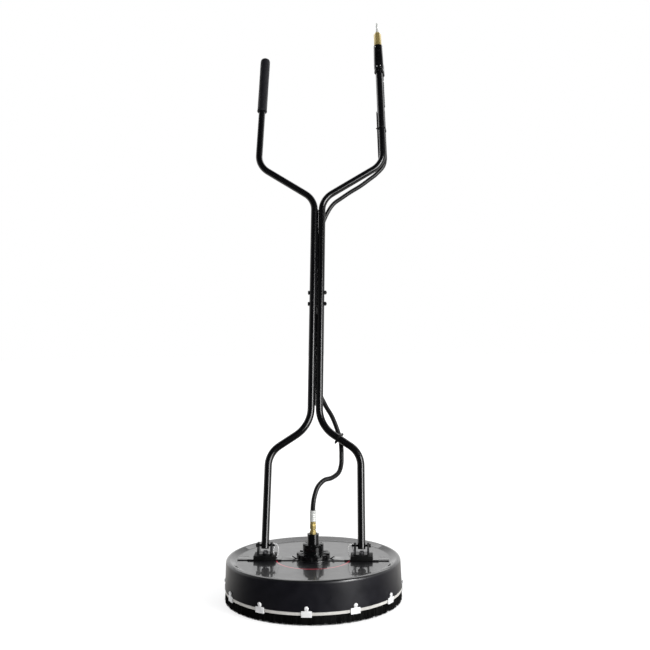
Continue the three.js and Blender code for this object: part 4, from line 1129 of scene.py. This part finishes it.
# %% Ties
TIE_GAP = 0.7
TIE_HALF_WIDTH = 2.3
TIE_THICKNESS = 1.2
TIE_TURN = math.radians(60)
ARM_TIE_HEIGHT = 120
FORK_TIE_REACH = 64


def belt(first, second, steps=14):
    """Points round two circles (x, y, radius), as a belt round two pulleys."""
    (x0, y0, r0), (x1, y1, r1) = first, second
    heading = math.atan2(y1 - y0, x1 - x0)
    lean = math.acos((r0 - r1) / math.hypot(x1 - x0, y1 - y0))
    line = []
    for (x, y, radius), start, sweep in ((first, lean, math.tau - 2 * lean), (second, -lean, 2 * lean)):
        for i in range(steps + 1):
            a = heading + start + sweep * i / steps
            line.append((x + radius * math.cos(a), y + radius * math.sin(a), 0))
    return line


def cable_tie(name, hose_place, place):
    line = belt((0, 0, TUBE + TIE_GAP), (*hose_place, HOSE + TIE_GAP))
    band = drawn(name, line, True, dimensions="2D", fill_mode="NONE", extrude=TIE_HALF_WIDTH * MM)
    soften(wall(band, TIE_THICKNESS, inward=False), 0.25, angle=50)
    head = soften(block("tie_head", (-2.6, -2.2, -3.2), (2.8, 3.2, 3.2)), 0.6)
    end = soften(block("tie_end", (-1.4, 1, -2.1), (-0.2, 7, 2.1)), 0.3)
    for solid in (head, end):
        lay_in(solid, at(*line[3]) @ about_z(TIE_TURN))
    fit(lay_in(joined(name, band, head, end), place), "handle", "black_rubber", tie_nylon)


slope = Vector((PAIR_HALF - FORK_CORNER[0], 0, FORK_TOP - FORK_CORNER[1]))
share = (FORK_TIE_REACH - FORK_CORNER[0]) / slope.x
on_leg = Vector((FORK_TIE_REACH, 0, FORK_CORNER[1] + share * slope.z)) * MM
slope.normalize()
across = Vector((0, 1, 0)).cross(slope)
tie_axes = Matrix((across, (0, 1, 0), slope)).transposed().to_4x4()
cable_tie("fork_tie", (12.3, 17.5), handle_frame @ Matrix.Translation(on_leg) @ tie_axes)
cable_tie("arm_tie", PORT, right_arm @ at(0, 0, ARM_TIE_HEIGHT))

# %% [markdown]
# Spray arms under the deck
#
# The rotor hangs below the swivel, out of sight from above but not from underneath. Its hub is turned and
# its arms are bent tubes like the handle's, with a hexagon where each screws into the hub. The brass
# nozzles are tilted, so that the jets turn the rotor.

# %% Hub and shaft
ROTOR = 50
hub = turned("hub", [(19.5, -9), (22, -7.5), (22, 7.5), (19.5, 9), (7.9, 9)])
mount(hub, deck_frame @ at(0, 0, ROTOR), 0.4, "rotor", "plain_steel", stainless, "rotor_hub")
shaft_outline = [(6.5, 44), (7.5, 45), (7.5, 66.7), (10.5, 66.7), (10.5, 70.7), (7.5, 70.7), (7.5, 131.5),
                 (6.8, 132.2)]
rotor_axle = turned("rotor_axle", shaft_outline, 48)
mount(rotor_axle, deck_frame, 0.2, "rotor", "plain_steel", zinc_steel, "rotor_shaft")

# %% Arms and nozzles
NOZZLE_TILT = math.radians(20)
SPRAY_REACH = 190
SPRAY_DROP = 17
SPRAY_TUBE = 6.5
down = Vector((0, -math.sin(NOZZLE_TILT), -math.cos(NOZZLE_TILT)))
corner = Vector((SPRAY_REACH, 0, ROTOR))
stop = corner + down * SPRAY_DROP
nozzle_tip = [(4.5, 10.4), (4.5, 15), (4.1, 18.2), (1.4, 18.2), (1.2, 15)]
for letter, turn in (("a", 0), ("b", math.pi)):
    spin = deck_frame @ about_z(turn)
    arm = wall(bent_tube(f"spray_tube_{letter}", SPRAY_TUBE, [(8.1, 0, ROTOR), corner, stop], [16]), 2.3)
    lock_nut = soften(hexagon("lock_nut", 17, 22.6, 29), 0.2)
    lay_in(lock_nut, at(0, 0, ROTOR) @ ALONG_X)
    arm = joined(f"spray_tube_{letter}", arm, lock_nut)
    mount(arm, spin, 0, "rotor", "plain_steel", stainless, f"spray_arm_{letter}", angle=40)
    nozzle = stemmed(f"jet_nozzle_{letter}", 14, 0.3, 11, 0.9, nozzle_tip, 40, 0.15)
    fit(lay_in(nozzle, spin @ at(*stop) @ toward(down)), "rotor", "brass", brass, f"nozzle_{letter}")

# %% Bearings and seal keep their solids and get their finish
hidden_finishes = {"upper_bearing": zinc_steel, "lower_bearing": zinc_steel, "shaft_seal": block_rubber}
for name, material in hidden_finishes.items():
    solid = frame["nodes"][name]
    solid.data.materials.clear()
    solid.data.materials.append(material)
print("solids still shown", [name for name, solid in frame["nodes"].items() if not solid.hide_render])

# %% [markdown]
# Studio
#
# The machine stands on a pale floor in a white room. The room is white behind the machine and dark in
# front of it and above, which puts a soft grey on the rear of the mirror-like deck and leaves its front
# black, and it lights the piece only gently. A soft lamp low on the right and a narrower one higher up
# draw the thin bright line down each tube, and a wide weak one behind lifts the top edges. The floor
# glows a little to the camera, so it stays pale and still takes the shadow.

# %% What each kind of ray sees
def by_ray(tree, for_light, for_mirrors, for_camera):
    """One shader for rays of light, one for mirror images and one for the camera."""
    path = node(tree, "LightPath").outputs
    mirrored = math_node(tree, "MAXIMUM", path["Is Glossy Ray"], path["Is Transmission Ray"])
    shader = for_light.outputs[0]
    for factor, other in ((mirrored, for_mirrors), (path["Is Camera Ray"], for_camera)):
        shader = node(tree, "MixShader", {0: factor, 1: shader, 2: other.outputs[0]}).outputs[0]
    return shader


def flat_shader(tree, kind, colour, **more):
    return node(tree, kind, {"Color": (*colour, 1), **more})


WHITE = (1, 1, 1)

# %% Floor
FLOOR_RADIUS = 14000
FLOOR_DROP = 0.5
FLOOR_GREY = (0.80, 0.80, 0.80)
FLOOR_HALF_GREY = (0.32, 0.32, 0.32)
floor = circle("studio_floor", 96, FLOOR_RADIUS, at(0, 0, -FLOOR_DROP), "NGON")
leave_edit()
floor_white, tree = new_material("floor white")
place = object_place(tree)
away = node(tree, "VectorMath", {0: place}, operation="LENGTH").outputs["Value"]
glow = flat_shader(tree, "Emission", WHITE, Strength=spread(tree, away, 0.9, 4.0, 0.72, 1.0))
half = flat_shader(tree, "BsdfDiffuse", FLOOR_HALF_GREY)
seen = node(tree, "AddShader", {0: half.outputs[0], 1: glow.outputs[0]})
rear = spread(tree, node(tree, "SeparateXYZ", {0: place}).outputs["Y"], -0.34, 0.16, 0.04, 0.95)
mirror_floor = flat_shader(tree, "Emission", (1, 0.985, 0.95), Strength=rear)
floor_shader = by_ray(tree, flat_shader(tree, "BsdfDiffuse", FLOOR_GREY), mirror_floor, seen)
node(tree, "OutputMaterial", {"Surface": floor_shader})
floor.data.materials.append(floor_white)

# %% White room
world = bpy.data.worlds.new("white room")
bpy.context.scene.world = world
world.use_nodes = True
tree = world.node_tree
tree.nodes.clear()
heading = node(tree, "SeparateXYZ", {0: node(tree, "TexCoord").outputs["Generated"]})
low = spread(tree, heading.outputs["Z"], 0.36, 0.68, 0.85, 0.03)
behind = spread(tree, heading.outputs["Y"], -0.35, 0.3, 0.05, 1.0)
ambient = flat_shader(tree, "Background", (0.98, 0.985, 1), Strength=0.72)
room = flat_shader(tree, "Background", WHITE, Strength=math_node(tree, "MULTIPLY", low, behind))
backdrop = flat_shader(tree, "Background", WHITE, Strength=1.0)
node(tree, "OutputWorld", {"Surface": by_ray(tree, ambient, room, backdrop)})


# %% Lamps
def lamp(name, place, target, width, height, power):
    """A soft rectangular lamp that looks at the target; metres and watts."""
    data = bpy.data.lights.new(name, "AREA")
    data.shape = "RECTANGLE"
    data.size = width
    data.size_y = height
    data.energy = power
    made = linked(name, data)
    direction = Vector(place) - Vector(target)
    made.matrix_world = Matrix.Translation(place) @ direction.to_track_quat("Z", "Y").to_matrix().to_4x4()


lamp("low soft lamp", (3.2, -2.7, 1.0), (0, 0, 0.75), 2.4, 1.8, 125)
lamp("high strip lamp", (3.2, -2.5, 2.6), (0, 0, 0.9), 1.25, 1.6, 105)
lamp("top lamp behind", (0, 2.1, 3.0), (0, 0, 0.2), 5.6, 2.2, 75)
bpy.context.scene.view_settings.view_transform = "Standard"

# %% Sizes and the end
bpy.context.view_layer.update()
shown = [thing for thing in bpy.data.objects if thing.type == "MESH" and not thing.hide_render]
print("triangles", sum(len(thing.data.loop_triangles) for thing in shown))
